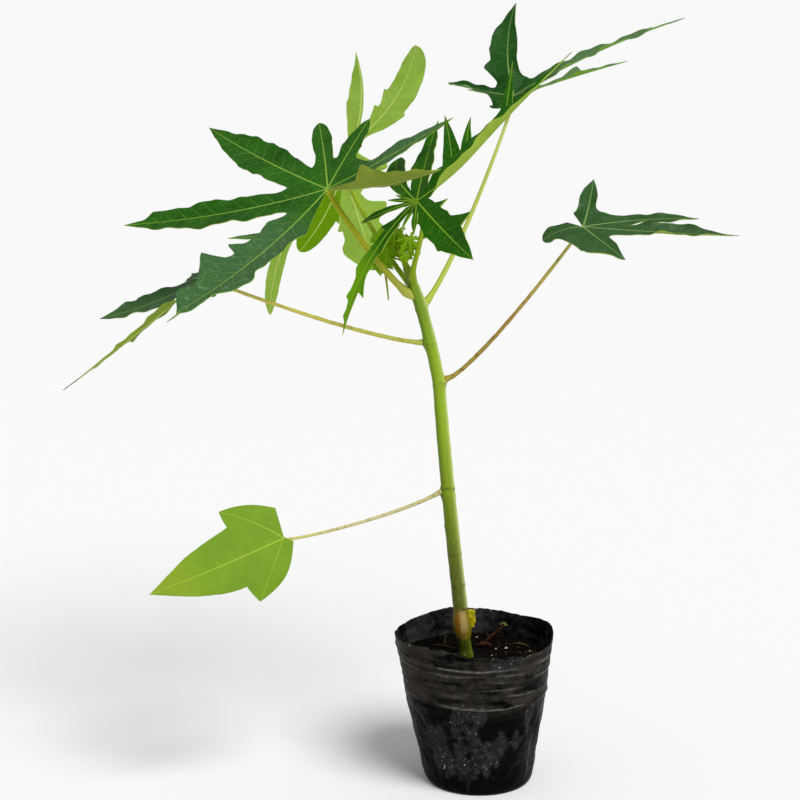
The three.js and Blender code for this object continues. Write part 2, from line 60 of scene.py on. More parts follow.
# Shares of a midrib over which its bend is lost and its roll comes in
BEND_END = 0.35
ROLL_START = 0.3
# Share from web to tip over which a lobe's edge leaves its notch
EDGE_START = 0.22
# How far a side vein runs forward for its distance from the midrib
VEIN_SLANT = 0.72
# Share of a horn's length that its foot takes
HORN_FOOT = 0.12

Array = np.ndarray
Colour = tuple[float, float, float, float]


def shade(red: int, green: int, blue: int) -> Colour:
    """Linear colour from red, green and blue as the eye sees them, each from 0 to 255."""
    seen = np.array([red, green, blue]) / 255
    linear = np.where(seen <= 0.04045, seen / 12.92, ((seen + 0.055) / 1.055) ** 2.4)
    return (float(linear[0]), float(linear[1]), float(linear[2]), 1.0)


def ease(values: Array, low: float, high: float) -> Array:
    """Smooth step from 0 at low to 1 at high."""
    share = np.clip((np.asarray(values, float) - low) / (high - low), 0, 1)
    return share * share * (3 - 2 * share)


def lerp(first: Array, second: Array, share: Array) -> Array:
    """Value between first and second at a share of the way."""
    return first + (second - first) * share


def hump(away: Array, width: float) -> Array:
    """Bell that is 1 where the distance is 0 and falls off over a width."""
    return np.exp(-((away / width) ** 2))


def full_turn(sides: int) -> Array:
    """Angles of the points in a ring."""
    return np.arange(sides) * math.tau / sides


def round_places(turns: Array, radius: Array, z: Array) -> Array:
    """Points at these angles, at a radius and at a height."""
    return np.stack([radius * np.cos(turns), radius * np.sin(turns), z + 0 * turns], axis=-1)


def degrees_from(turns: Array, bearing: float) -> Array:
    """Degrees from a bearing to angles, the short way round."""
    return np.degrees(np.angle(np.exp(1j * (turns - math.radians(bearing)))))


def ripple(places: Array, size: float, seed: int) -> Array:
    """Smooth noise at places.

    Args:
        places: points in millimetres, one a row.
        size: distance over which the noise changes, in millimetres.
        seed: picks the pattern.

    Returns:
        One value a point, from about -1 to 1.
    """
    shift = Vector((seed * 17.3, seed * 5.1, seed * 9.7))
    flat = places.reshape(-1, 3)
    found = [noise.noise(Vector(place) / size + shift) for place in flat]
    return np.array(found).reshape(places.shape[:-1])


def bearing_vector(degrees: float) -> Array:
    """Level unit vector at a bearing."""
    return np.array([math.cos(math.radians(degrees)), math.sin(math.radians(degrees)), 0.0])


def bezier(corners: Sequence[Sequence[float]], shares: Array) -> Array:
    """Points of a cubic curve.

    Args:
        corners: start, two handles and end.
        shares: places along the curve, from 0 to 1.

    Returns:
        One point a row.
    """
    a, b, c, d = (np.asarray(corner, float) for corner in corners)
    t = shares[:, None]
    return (1 - t) ** 3 * a + 3 * (1 - t) ** 2 * t * b + 3 * (1 - t) * t**2 * c + t**3 * d


# Shader values and finishes


class Value:
    """A number or colour that changes over a surface, for use in Python expressions."""

    def __init__(self, tree: "FinishTree", socket: bpy.types.NodeSocket) -> None:
        """Keeps the socket and the tree that it belongs to."""
        self.tree = tree
        self.socket = socket

    def _math(self, operation: str, *values: "Number") -> "Value":
        """A Math node on these values."""
        return self.tree.add("ShaderNodeMath", {"operation": operation}, dict(enumerate(values)))

    def __add__(self, other: "Number") -> "Value":
        """self + other."""
        return self._math("ADD", self, other)

    __radd__ = __add__

    def __sub__(self, other: "Number") -> "Value":
        """self - other."""
        return self._math("SUBTRACT", self, other)

    def __rsub__(self, other: "Number") -> "Value":
        """other - self."""
        return self._math("SUBTRACT", other, self)

    def __mul__(self, other: "Number") -> "Value":
        """self * other."""
        return self._math("MULTIPLY", self, other)

    __rmul__ = __mul__

    def __abs__(self) -> "Value":
        """Absolute value."""
        return self._math("ABSOLUTE", self)

    def fraction(self) -> "Value":
        """What is left over the next whole number below."""
        return self._math("FRACT", self)

    def clamped(self) -> "Value":
        """The value held between 0 and 1."""
        return self.tree.add("ShaderNodeClamp", {}, {"Value": self, "Min": 0.0, "Max": 1.0})


Number = Union[float, Value]


class FinishTree:
    """The nodes of one material, with the calls that its finishes are written in."""

    def __init__(self, name: str, constants: dict[str, Union[float, Colour]]) -> None:
        """Starts a material.

        Args:
            name: the material's name.
            constants: values that are the same all over, by the shader's socket names.
        """
        self.material = bpy.data.materials.new(name)
        self.material.use_nodes = True
        self.nodes = self.material.node_tree.nodes
        self.links = self.material.node_tree.links
        self.shader = next(node for node in self.nodes if node.type == "BSDF_PRINCIPLED")
        for socket, value in constants.items():
            self.shader.inputs[socket].default_value = value

    def add(self, kind: str, settings: dict, sockets: dict, output: Union[int, str] = 0) -> Value:
        """Adds one node.

        Args:
            kind: the node's type.
            settings: its options, set first; "stops" holds a ramp's places and colours.
            sockets: values or links by socket name or number.
            output: the output to return.

        Returns:
            That output as a value.
        """
        node = self.nodes.new(kind)
        for key, setting in settings.items():
            if key == "stops":
                self._set_stops(node.color_ramp, setting)
            else:
                setattr(node, key, setting)
        for key, value in sockets.items():
            if isinstance(value, Value):
                self.links.new(value.socket, node.inputs[key])
            else:
                node.inputs[key].default_value = value
        return Value(self, node.outputs[output])

    @staticmethod
    def _set_stops(ramp: bpy.types.ColorRamp, stops: Sequence[tuple[float, Colour]]) -> None:
        """Gives a ramp its stops.

        Args:
            ramp: the ramp.
            stops: place and colour of each stop.
        """
        while len(ramp.elements) < len(stops):
            ramp.elements.new(1.0)
        for element, (place, colour) in zip(ramp.elements, stops):
            element.position = place
            element.color = colour

    def feed(self, socket: str, value: Value) -> None:
        """Links a value to a socket of the shader."""
        self.links.new(value.socket, self.shader.inputs[socket])

    def place(self) -> Value:
        """Place on the object, in metres."""
        return self.add("ShaderNodeTexCoord", {}, {}, "Object")

    def stretched(self, place: Value, scale: tuple[float, float, float]) -> Value:
        """Place with each axis scaled."""
        return self.add("ShaderNodeVectorMath", {"operation": "MULTIPLY"}, {0: place, 1: scale})

    def attribute(self, name: str, output: str = "Vector") -> Value:
        """A named value of the mesh."""
        return self.add("ShaderNodeAttribute", {"attribute_name": name}, {}, output)

    def parts(self, vector: Value) -> tuple[Value, Value, Value]:
        """The three numbers of a vector."""
        first = self.add("ShaderNodeSeparateXYZ", {}, {0: vector}, "X")
        outputs = first.socket.node.outputs
        return first, Value(self, outputs["Y"]), Value(self, outputs["Z"])

    def noise(self, place: Value, scale: float, detail: float = 2.0) -> Value:
        """Cloudy noise from 0 to 1; scale is in waves a metre."""
        sockets = {"Vector": place, "Scale": scale, "Detail": detail, "Roughness": 0.55}
        return self.add("ShaderNodeTexNoise", {}, sockets)

    def spots(self, place: Value, scale: float, detail: float, level: float, steep: float) -> Value:
        """1 where noise rises above a level, with edges as steep as given, and 0 elsewhere."""
        return ((self.noise(place, scale, detail) - level) * steep).clamped()

    def cells(self, place: Value, scale: float) -> Value:
        """Distance to the nearest border of irregular cells, in cells."""
        settings = {"feature": "DISTANCE_TO_EDGE"}
        return self.add("ShaderNodeTexVoronoi", settings, {"Vector": place, "Scale": scale})

    def blend(self, share: Number, first: Union[Colour, Value], second: Union[Colour, Value]) -> Value:
        """Colour between two colours."""
        return self.add("ShaderNodeMix", {"data_type": "RGBA"}, {0: share, 6: first, 7: second}, 2)

    def ramp(self, share: Value, stops: Sequence[tuple[float, Colour]]) -> Value:
        """Colour along a row of stops."""
        return self.add("ShaderNodeValToRGB", {"stops": stops}, {0: share})

    def bump(self, height: Value, depth: float, strength: float = 1.0) -> None:
        """Relief from a height; depth is in millimetres."""
        sockets = {"Strength": strength, "Distance": depth * MM, "Height": height}
        self.feed("Normal", self.add("ShaderNodeBump", {}, sockets))


@dataclass(frozen=True)
class LeafFinish:
    """Colours of one leaf: upper face from deep to bright, underside, and veins on both."""

    deep: Colour
    bright: Colour
    vein: Colour
    under: Colour
    under_bright: Colour
    under_vein: Colour
    under_side_vein: Colour
    # Second colours for some lobes, upper face and underside: partly their own tone, partly painted sheen
    # and light
    toned_and_lit: Colour = shade(75, 110, 85)
    under_toned_and_lit: Colour = shade(110, 160, 20)
    side_veins: float = 0.4
    dry_from: float = 1.0
    dry: Colour = shade(84, 74, 58)
    flecks: float = 0.0
    fleck: Colour = shade(136, 158, 124)
    sheen: float = 0.15
    roughness: float = 0.45

    def _pattern(self, tree: FinishTree) -> tuple[Value, Value, Value, Value, Value, Value]:
        """Masks that both faces share.

        Args:
            tree: the material in the making.

        Returns:
            Midribs, side veins, the net between them, the lobe's tone, broad clouds and fine clouds.
        """
        phase, gap, share = tree.parts(tree.attribute("vein"))
        across, _, tone = tree.parts(tree.attribute("blade"))
        place = tree.place()
        midrib = ((0.5 - 0.38 * share - gap) * 3.4 + 0.5).clamped()
        thin = 1 - across * across
        side = (1 - abs(phase.fraction() - 0.5) * 26).clamped() * thin
        net = (1 - tree.cells(place, 330.0) * 12).clamped()
        return midrib, side, net, tone, tree.noise(place, 60.0), tree.noise(place, 500.0, 3.0)

    def _dried(self, tree: FinishTree, body: Value) -> Value:
        """Body with the ends of the lobes dried brown, where this leaf has that."""
        if self.dry_from >= 1:
            return body
        _, _, share = tree.parts(tree.attribute("vein"))
        return tree.blend(((share - self.dry_from) * 30).clamped(), body, self.dry)

    def upper(self, name: str) -> bpy.types.Material:
        """Upper face: pressed-in pale veins on a satin green.

        Args:
            name: the material's name.

        Returns:
            The material.
        """
        tree = FinishTree(name, {SHEEN: self.sheen})
        midrib, side, net, tone, broad, fine = self._pattern(tree)
        body = tree.blend((broad * 1.8 - 0.4).clamped(), self.deep, self.bright)
        # A second colour on some lobes: partly their own tone, partly painted grey sheen and painted light
        body = tree.blend(tone, body, self.toned_and_lit)
        body = tree.blend(net * 0.1, body, self.vein)
        if self.flecks > 0:
            dust = tree.spots(tree.place(), 330.0, 4.0, 0.58, 7.0)
            body = tree.blend(dust * (tone + self.flecks).clamped() * 0.6, body, self.fleck)
        veins = (midrib * 0.85 + side * self.side_veins).clamped()
        tree.feed("Base Color", tree.blend(veins, body, self.vein))
        tree.feed("Roughness", fine * 0.22 + (self.roughness - 0.1))
        tree.bump(fine * 0.3 - side * 0.5 - net * 0.25 - midrib * 0.6, 0.2, 0.6)
        return tree.material

    def lower(self, name: str) -> bpy.types.Material:
        """Underside: paler and duller, with raised veins.

        Args:
            name: the material's name.

        Returns:
            The material.
        """
        tree = FinishTree(name, {SHEEN: 0.3 * self.sheen})
        midrib, side, net, tone, broad, fine = self._pattern(tree)
        body = tree.blend((broad * 1.8 - 0.4).clamped(), self.under, self.under_bright)
        # A second colour on some undersides: partly their own tone, partly a painted backlit glow
        body = tree.blend(tone, body, self.under_toned_and_lit)
        body = tree.blend((net * 0.22 + side * 0.6).clamped(), body, self.under_side_vein)
        tree.feed("Base Color", self._dried(tree, tree.blend(midrib, body, self.under_vein)))
        tree.feed("Roughness", fine * 0.2 + 0.5)
        tree.bump(fine * 0.3 + side * 0.8 + net * 0.3 + midrib * 0.6, 0.25, 0.8)
        return tree.material


@dataclass(frozen=True)
class StalkFinish:
    """Colours along a leaf stalk from the stem to the blade, and how specked it is."""

    foot: Colour
    middle: Colour
    head: Colour
    speck: Colour = shade(120, 84, 44)
    specks: float = 0.0

    def make(self, name: str) -> bpy.types.Material:
        """Smooth skin with faint lengthwise streaks.

        Args:
            name: the material's name.

        Returns:
            The material.
        """
        tree = FinishTree(name, {SHEEN: 0.15})
        place = tree.place()
        share = tree.attribute("share", "Fac")
        body = tree.ramp(share, [(0.0, self.foot), (0.45, self.middle), (1.0, self.head)])
        cloud = tree.noise(place, 260.0, 3.0)
        body = tree.blend((cloud * 1.4 - 0.55).clamped() * 0.35, body, self.foot)
        if self.specks > 0:
            spots = tree.spots(place, 420.0, 2.0, 0.56, 9.0)
            body = tree.blend(spots * self.specks, body, self.speck)
        tree.feed("Base Color", body)
        tree.feed("Roughness", cloud * 0.2 + 0.36)
        tree.bump(cloud, 0.3, 0.5)
        return tree.material


@dataclass(frozen=True)
class BarkFinish:
    """Green bark: the mesh gives each point its tint, and the nodes add streaks and lenticels."""

    streak: Colour = shade(158, 174, 56)
    lenticel: Colour = shade(144, 146, 66)

    def make(self, name: str) -> bpy.types.Material:
        """Satin bark with fine lengthwise streaks.

        Args:
            name: the material's name.

        Returns:
            The material.
        """
        tree = FinishTree(name, {SHEEN: 0.15})
        place = tree.place()
        lengthwise = tree.stretched(place, (1.0, 1.0, 0.16))
        streaks = tree.noise(lengthwise, 620.0, 4.0)
        spots = tree.spots(place, 520.0, 1.0, 0.64, 12.0)
        tint = tree.attribute("tint", "Color")
        body = tree.blend((streaks * 1.6 - 0.7).clamped() * 0.25, tint, self.streak)
        tree.feed("Base Color", tree.blend(spots * 0.45, body, self.lenticel))
        tree.feed("Roughness", streaks * 0.24 + 0.36)
        tree.bump(streaks * 0.8 + spots * 0.5, 0.3, 0.6)
        return tree.material


@dataclass(frozen=True)
class FilmFinish:
    """Black plastic film, hazy at the top, with grey wear and painted sheen and painted crease highlights.
    """

    black: Colour = shade(3, 3, 3)
    haze: Colour = shade(64, 60, 52)
    brown: Colour = shade(46, 34, 28)
    wear_and_sheen: Colour = shade(47, 46, 47)
    speck: Colour = shade(176, 174, 168)
    line: Colour = shade(140, 138, 132)
    pale: Colour = shade(206, 203, 192)
    inner: Colour = shade(64, 64, 65)

    def make(self, name: str) -> bpy.types.Material:
        """Film whose wear and painted sheen, painted crease highlights and height come from the mesh.

        Args:
            name: the material's name.

        Returns:
            The material.
        """
        tree = FinishTree(name, {SHEEN: 0.02})
        place = tree.place()
        wear_and_sheen, crease, height = tree.parts(tree.attribute("film", "Color"))
        inside = tree.attribute("film", "Alpha")
        cloud = tree.noise(place, 42.0, 4.0)
        fine = tree.noise(place, 300.0, 4.0)
        level = tree.noise(tree.stretched(place, (1.0, 1.0, 5.0)), 55.0, 4.0)
        top = ((height - 0.55) * 8).clamped()
        haze = (level * 2.2 + fine * 0.9 + cloud * 1.2 - 1.75).clamped() * (top * 0.85 + 0.05)
        body = tree.blend(haze, self.black, self.haze)
        body = tree.blend((cloud * 4 - 1.9).clamped() * top * 0.5, body, self.brown)
        # Grey patches: partly wear, partly painted sheen
        body = tree.blend(wear_and_sheen * (fine * 2.2 + cloud * 1.2 - 1.05).clamped(), body, self.wear_and_sheen)
        # Painted glints: pale specks within the grey patches
        specks = tree.spots(place, 820.0, 1.0, 0.7, 14.0)
        body = tree.blend(specks * wear_and_sheen, body, self.speck)
        # Painted highlights along the crease ridges
        body = tree.blend((crease * (fine * 2.4 - 0.5)).clamped(), body, self.line)
        bloom = (cloud * 3.0 + fine * 1.4 - 1.75).clamped() * (0.15 + top * 0.75)
        lining = tree.blend(bloom, self.black, self.inner)
        body = tree.blend(inside, body, lining)
        # Painted highlights: pale glints along the rim's edge
        rim_glints = tree.spots(place, 420.0, 2.0, 0.62, 12.0) * (cloud * 6 - 2.8).clamped()
        body = tree.blend(rim_glints * ((height - 0.976) * 70).clamped(), body, self.pale)
        tree.feed("Base Color", body)
        tree.feed("Roughness", 0.26 + wear_and_sheen * 0.2 + top * 0.1 + fine * 0.16)
        folds = tree.cells(place, 95.0) + tree.cells(place, 230.0) * 0.5
        tree.bump(folds * (1 - top * 0.75) + level * top * 0.6 + fine * 0.2, 0.9, 0.7)
        return tree.material


@dataclass(frozen=True)
class CrumbFinish:
    """Rough grains in two close colours."""

    dark: Colour
    light: Colour
    scale: float = 300.0
    depth: float = 0.8
    roughness: float = 0.8
    sheen: float = 0.2

    def make(self, name: str) -> bpy.types.Material:
        """Matt grainy surface.

        Args:
            name: the material's name.

        Returns:
            The material.
        """
        tree = FinishTree(name, {SHEEN: self.sheen})
        place = tree.place()
        cloud = tree.noise(place, self.scale, 4.0)
        tree.feed("Base Color", tree.blend((cloud * 2.2 - 0.7).clamped(), self.dark, self.light))
        tree.feed("Roughness", cloud * 0.2 + (self.roughness - 0.1))
        tree.bump(cloud, self.depth, 0.8)
        return tree.material


# Meshes in the making


@dataclass
class Skin:
    """A mesh in the making, in millimetres.

    Attributes:
        points: one point a row.
        faces: corners of each face.
        finishes: the number of each face's material.
        at_points: named numbers or colours, one row a point.
        at_corners: named vectors, one row a face corner.
    """

    points: Array
    faces: list[tuple[int, ...]]
    finishes: Array
    at_points: dict[str, Array] = field(default_factory=dict)
    at_corners: dict[str, Array] = field(default_factory=dict)

    @staticmethod
    def joined(skins: Sequence["Skin"]) -> "Skin":
        """One skin from several.

        Args:
            skins: skins that carry the same named values.

        Returns:
            The joined skin.
        """
        starts = np.cumsum([0] + [len(skin.points) for skin in skins])
        faces = [
            tuple(corner + int(start) for corner in face)
            for skin, start in zip(skins, starts)
            for face in skin.faces
        ]
        return Skin(
            np.concatenate([skin.points for skin in skins]),
            faces,
            np.concatenate([skin.finishes for skin in skins]),
            {key: np.concatenate([skin.at_points[key] for skin in skins]) for key in skins[0].at_points},
            {key: np.concatenate([skin.at_corners[key] for skin in skins]) for key in skins[0].at_corners},
        )

    def build(
        self, name: str, materials: Sequence[bpy.types.Material], crease: float = 60.0
    ) -> bpy.types.Object:
        """Makes the Blender object, in metres.

        Args:
            name: the object's name.
            materials: its materials, in the order of the finish numbers.
            crease: edges sharper than this many degrees shade as edges.

        Returns:
            The object, linked to the scene.
        """
        mesh = bpy.data.meshes.new(name)
        mesh.from_pydata((self.points * MM).tolist(), [], self.faces)
        for material in materials:
            mesh.materials.append(material)
        mesh.polygons.foreach_set("material_index", self.finishes.astype(np.int32))
        mesh.polygons.foreach_set("use_smooth", np.ones(len(self.faces), bool))
        for key, values in self.at_points.items():
            colour = values.ndim > 1
            made = mesh.attributes.new(key, "FLOAT_COLOR" if colour else "FLOAT", "POINT")
            made.data.foreach_set("color" if colour else "value", values.astype(np.float32).ravel())
        for key, values in self.at_corners.items():
            made = mesh.attributes.new(key, "FLOAT_VECTOR", "CORNER")
            made.data.foreach_set("vector", values.astype(np.float32).ravel())
        mesh.set_sharp_from_angle(angle=math.radians(crease))
        mesh.update()
        thing = bpy.data.objects.new(name, mesh)
        bpy.context.scene.collection.objects.link(thing)
        return thing


def loft(rings: Array, share: Array) -> Skin:
    """A closed skin over rings of points, with a flat cap at each end.

    Args:
        rings: points by ring and by side.
        share: a number for each ring, kept as the value "share".

    Returns:
        The skin.
    """
    count, sides, _ = rings.shape
    ids = np.arange(count * sides).reshape(count, sides)
    after = np.roll(ids, -1, axis=1)
    quads = np.stack([ids[:-1], after[:-1], after[1:], ids[1:]], axis=-1).reshape(-1, 4)
    faces = [tuple(quad) for quad in quads.tolist()]
    first, last = count * sides, count * sides + 1
    faces += [(first, b, a) for a, b in zip(ids[0].tolist(), after[0].tolist())]
    faces += [(last, a, b) for a, b in zip(ids[-1].tolist(), after[-1].tolist())]
    points = np.concatenate([rings.reshape(-1, 3), rings[:1].mean(1), rings[-1:].mean(1)])
    shares = np.concatenate([np.repeat(share, sides), share[:1], share[-1:]])
    return Skin(points, faces, np.zeros(len(faces), int), {"share": shares})


def tube_rings(path: Array, radii: Array, sides: int, side_axis: Optional[Array] = None) -> Array:
    """Rings of points round a path.

    Args:
        path: points along the middle.
        radii: radius by point, or by point and side.
        sides: points in a ring.
        side_axis: direction that the first side keeps to; by default one that the path allows.

    Returns:
        Points by ring and by side.
    """
    tangents = np.gradient(path, axis=0)
    tangents /= np.linalg.norm(tangents, axis=1)[:, None]
    if side_axis is None:
        side_axis = np.eye(3)[np.argmin(np.abs(tangents[0]))]
    across = side_axis - tangents * (tangents @ side_axis)[:, None]
    across /= np.linalg.norm(across, axis=1)[:, None]
    third = np.cross(tangents, across)
    turns = full_turn(sides)
    reach = np.broadcast_to(radii if radii.ndim > 1 else radii[:, None], (len(path), sides))[..., None]
    ring = across[:, None] * np.cos(turns)[None, :, None] + third[:, None] * np.sin(turns)[None, :, None]
    return path[:, None] + ring * reach


def tube(path: Array, radii: Array, sides: int, shares: Array) -> Skin:
    """Closed skin round a path, with a share for each of its points."""
    return loft(tube_rings(path, radii, sides), shares)


def seat(piece: bpy.types.Object, slot: str, *nodes: str) -> None:
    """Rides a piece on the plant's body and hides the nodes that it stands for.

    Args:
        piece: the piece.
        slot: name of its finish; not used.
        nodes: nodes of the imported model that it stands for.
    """
    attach(piece, BODY)
    if nodes:
        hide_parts(*nodes)
    LOG.info("%s: %d faces", piece.name, len(piece.data.polygons))


# Pot and soil


@dataclass
class Pot:
    """Thin film bag with a flat underside, a rounded foot, level creases and a ragged rim.

    Attributes:
        rim_line: height of the rim above its mean, by bearing.
        creases: height and depth of each level crease.
        wear_and_sheen_patches: bearing, height, half width in degrees, half height and strength of
        each grey patch of wear and painted sheen.
        fold_top: heights between which the folds of the lower half die out.
        foot_smooth: heights between which the crumpling sets in above the foot.
        nick_depth: depth of the nicks in the rim.
        noise_radius: radius of the plain round wall that the wall's noise is read on.
    """

    base_radius: float = 28.5
    foot_radius: float = 31.0
    foot_height: float = 3.0
    middle_radius: float = 39.2
    middle_height: float = 45.0
    rim_radius: float = 45.0
    height: float = 86.9
    film: float = 0.45
    rim_shift: float = -3.5
    rim_line: tuple = (
        (0, -0.4), (16, 1.0), (30, 0.2), (50, -1.8), (72, -1.2), (90, 0.6), (105, 0.1), (125, -1.3),
        (150, -2.2), (180, -0.8), (205, 1.2), (225, 2.8), (244, 3.6), (255, 2.8), (264, 0.4), (285, 0.0),
        (300, -0.9), (316, -2.4), (340, -2.8),
    )
    creases: tuple = ((77.6, 0.62), (73.6, 0.3), (70.2, 0.62), (65.5, 0.3), (61.7, 0.55), (54.5, 0.5))
    crease_width: float = 1.15
    crease_slant: float = 1.3
    wear_and_sheen_patches: tuple = (
        (232, 27, 16, 17, 1.0), (258, 30, 14, 24, 1.0), (284, 26, 16, 15, 0.9), (306, 34, 7, 8, 0.8),
        (268, 50, 18, 8, 0.8), (290, 81, 18, 5.5, 1.0), (318, 46, 8, 12, 0.7), (214, 66, 12, 6, 0.6),
        (342, 26, 12, 18, 0.9), (12, 30, 15, 15, 1.0), (48, 24, 16, 16, 0.9), (70, 80, 14, 5, 0.8),
        (96, 30, 14, 18, 1.0), (128, 26, 15, 15, 0.9), (160, 34, 12, 17, 0.8), (192, 22, 12, 11, 0.8),
    )
    fold_top: tuple = (44.0, 60.0)
    foot_smooth: tuple = (1.5, 9.0)
    nick_depth: float = 1.0
    noise_radius: float = 40.0
    sides: int = 240
    rows: int = 200
    inner_rows: int = 60

    def wall_radius(self, z: Array) -> Array:
        """Radius of the smooth wall.

        Args:
            z: heights.

        Returns:
            The radius at each height.
        """
        beyond = 6.0
        slope = (self.rim_radius - self.middle_radius) / (self.height - self.middle_height)
        heights = np.array([self.foot_height, self.middle_height, self.height, self.height + beyond])
        last = self.rim_radius + beyond * slope
        radii = np.array([self.foot_radius, self.middle_radius, self.rim_radius, last])
        foot = lerp(self.base_radius, self.foot_radius, np.sqrt(np.clip(z / self.foot_height, 0, 1)))
        return np.where(z < self.foot_height, foot, np.interp(z, heights, radii))

    def rim(self, turns: Array) -> Array:
        """Ragged rim with small nicks.

        Args:
            turns: angles round the pot.

        Returns:
            Height of the rim at each angle.
        """
        bearings, rises = zip(*self.rim_line)
        z = self.height + np.interp(np.degrees(turns), bearings, rises, period=360)
        round_rim = round_places(turns, self.rim_radius, 0.0)
        z += 0.45 * ripple(round_rim, 7.0, 3) + 0.4 * ripple(round_rim, 2.6, 4)
        return z - self.nick_depth * ease(ripple(round_rim, 4.2, 5), 0.3, 0.55)

    def _crease(self, index: int, turns: Array, z: Array) -> tuple[Array, Array]:
        """One level crease.

        Args:
            index: its number.
            turns: angle of each column of points.
            z: height of each point, by row and column.

        Returns:
            Each point's distance above the crease in crease widths, and how much shows in each column.
        """
        round_wall = round_places(turns, self.middle_radius, 0.0)
        wander = 1.2 * ripple(round_wall, 30.0, 11 + index) + 0.5 * ripple(round_wall, 9.0, 21 + index)
        wander += self.crease_slant * np.cos(turns - math.radians(200))
        shown = 0.25 + 0.75 * ease(ripple(round_wall, 20.0, 31 + index), -0.3, 0.3)
        return (z - self.creases[index][0] - wander) / self.crease_width, shown

    def crumple(self, turns: Array, z: Array) -> tuple[Array, Array, Array]:
        """Relief and wear of the film.

        Args:
            turns: angle of each column of points.
            z: height of each point, by row and column.

        Returns:
            Millimetres out from the smooth wall, grey wear and painted sheen, and painted crease
            highlights.
        """
        spread = np.broadcast_to(turns, z.shape)
        wall = round_places(spread, self.noise_radius, z)
        out = np.zeros_like(z)
        lines = np.zeros_like(z)
        for index, (_, depth) in enumerate(self.creases):
            gap, shown = self._crease(index, turns, z)
            out += depth * shown * gap * np.exp(0.5 - gap * gap / 2)
            # A painted highlight along the top of each crease
            lines += depth * shown**3 * hump(gap - 0.9, 0.45)
        low = 1 - ease(z, *self.fold_top)
        foot = ease(z, *self.foot_smooth)
        out += foot * (0.9 * ripple(wall, 21.0, 41) + low * 0.75 * ripple(wall * [1, 1, 0.6], 9.0, 42))
        out -= foot * low * 0.9 * (1 - np.abs(ripple(wall * [1, 1, 0.5], 12.0, 43))) ** 4
        small = ripple(wall, 3.6, 44)
        out += foot * 0.22 * small
        # Grey patches with ragged edges: partly wear, partly painted sheen
        wear_and_sheen = np.zeros_like(z)
        for bearing, height, width, tall, strength in self.wear_and_sheen_patches:
            turn = degrees_from(spread, bearing)
            wear_and_sheen = np.maximum(wear_and_sheen, strength * np.exp(-((turn / width) ** 2) - ((z - height) / tall) ** 2))
        patch_edge = 0.4 * small + 0.7 * ripple(wall * [1, 1, 0.4], 7.0, 45) + 0.12 * ripple(wall, 1.7, 46)
        wear_and_sheen = ease(wear_and_sheen + wear_and_sheen**0.5 * patch_edge, 0.36, 0.62)
        return out, wear_and_sheen, np.clip(lines, 0, 1)

    def dress(self) -> None:
        """Builds the film and seats it."""
        turns = full_turn(self.sides)
        shares = np.linspace(0, 1, self.rows + 1)
        rim = self.rim(turns)
        z = shares[:, None] * rim[None, :]
        out, wear_and_sheen, lines = self.crumple(turns, z)
        radius = self.wall_radius(z) + out
        radius[0] = self.base_radius
        kept = np.linspace(self.rows, 0, self.inner_rows).round().astype(int)
        inner_z = z[kept].copy()
        inner_z[-1] = self.film
        lining = self._ring(radius[kept] - self.film, turns, inner_z)
        rings = np.concatenate([self._ring(radius, turns, z), lining])
        heights = np.concatenate([shares, shares[kept]])
        skin = loft(rings, heights)
        film = np.zeros(rings.shape[:2] + (4,))
        # Channels: wear and painted sheen, painted crease highlights, height, and 1 on the lining
        film[: len(shares), :, 0] = wear_and_sheen
        film[: len(shares), :, 1] = lines
        film[:, :, 2] = heights[:, None]
        film[len(shares) :, :, 3] = 1
        film = film.reshape(-1, 4)
        skin.at_points["film"] = np.concatenate([film, film[:1], film[-1:]])
        seat(skin.build("pot_film", [FilmFinish().make("pot_film")]), "pot_film", "pot")

    def _ring(self, radius: Array, turns: Array, z: Array) -> Array:
        """Points of the wall, which leans to one side as it rises."""
        shift = self.rim_shift * z / self.height
        return np.stack([radius * np.cos(turns) + shift, radius * np.sin(turns), z], axis=-1)


@dataclass(frozen=True)
class Litter:
    """One kind of grain that lies on the soil.

    Attributes:
        name: name of its piece.
        count: how many grains there are.
        least: radius of the smallest.
        most: radius of the largest.
        right_of: place on the X axis that they all lie to the right of.
        finish: their colours.
    """

    name: str
    count: int
    least: float
    most: float
    right_of: float
    finish: CrumbFinish


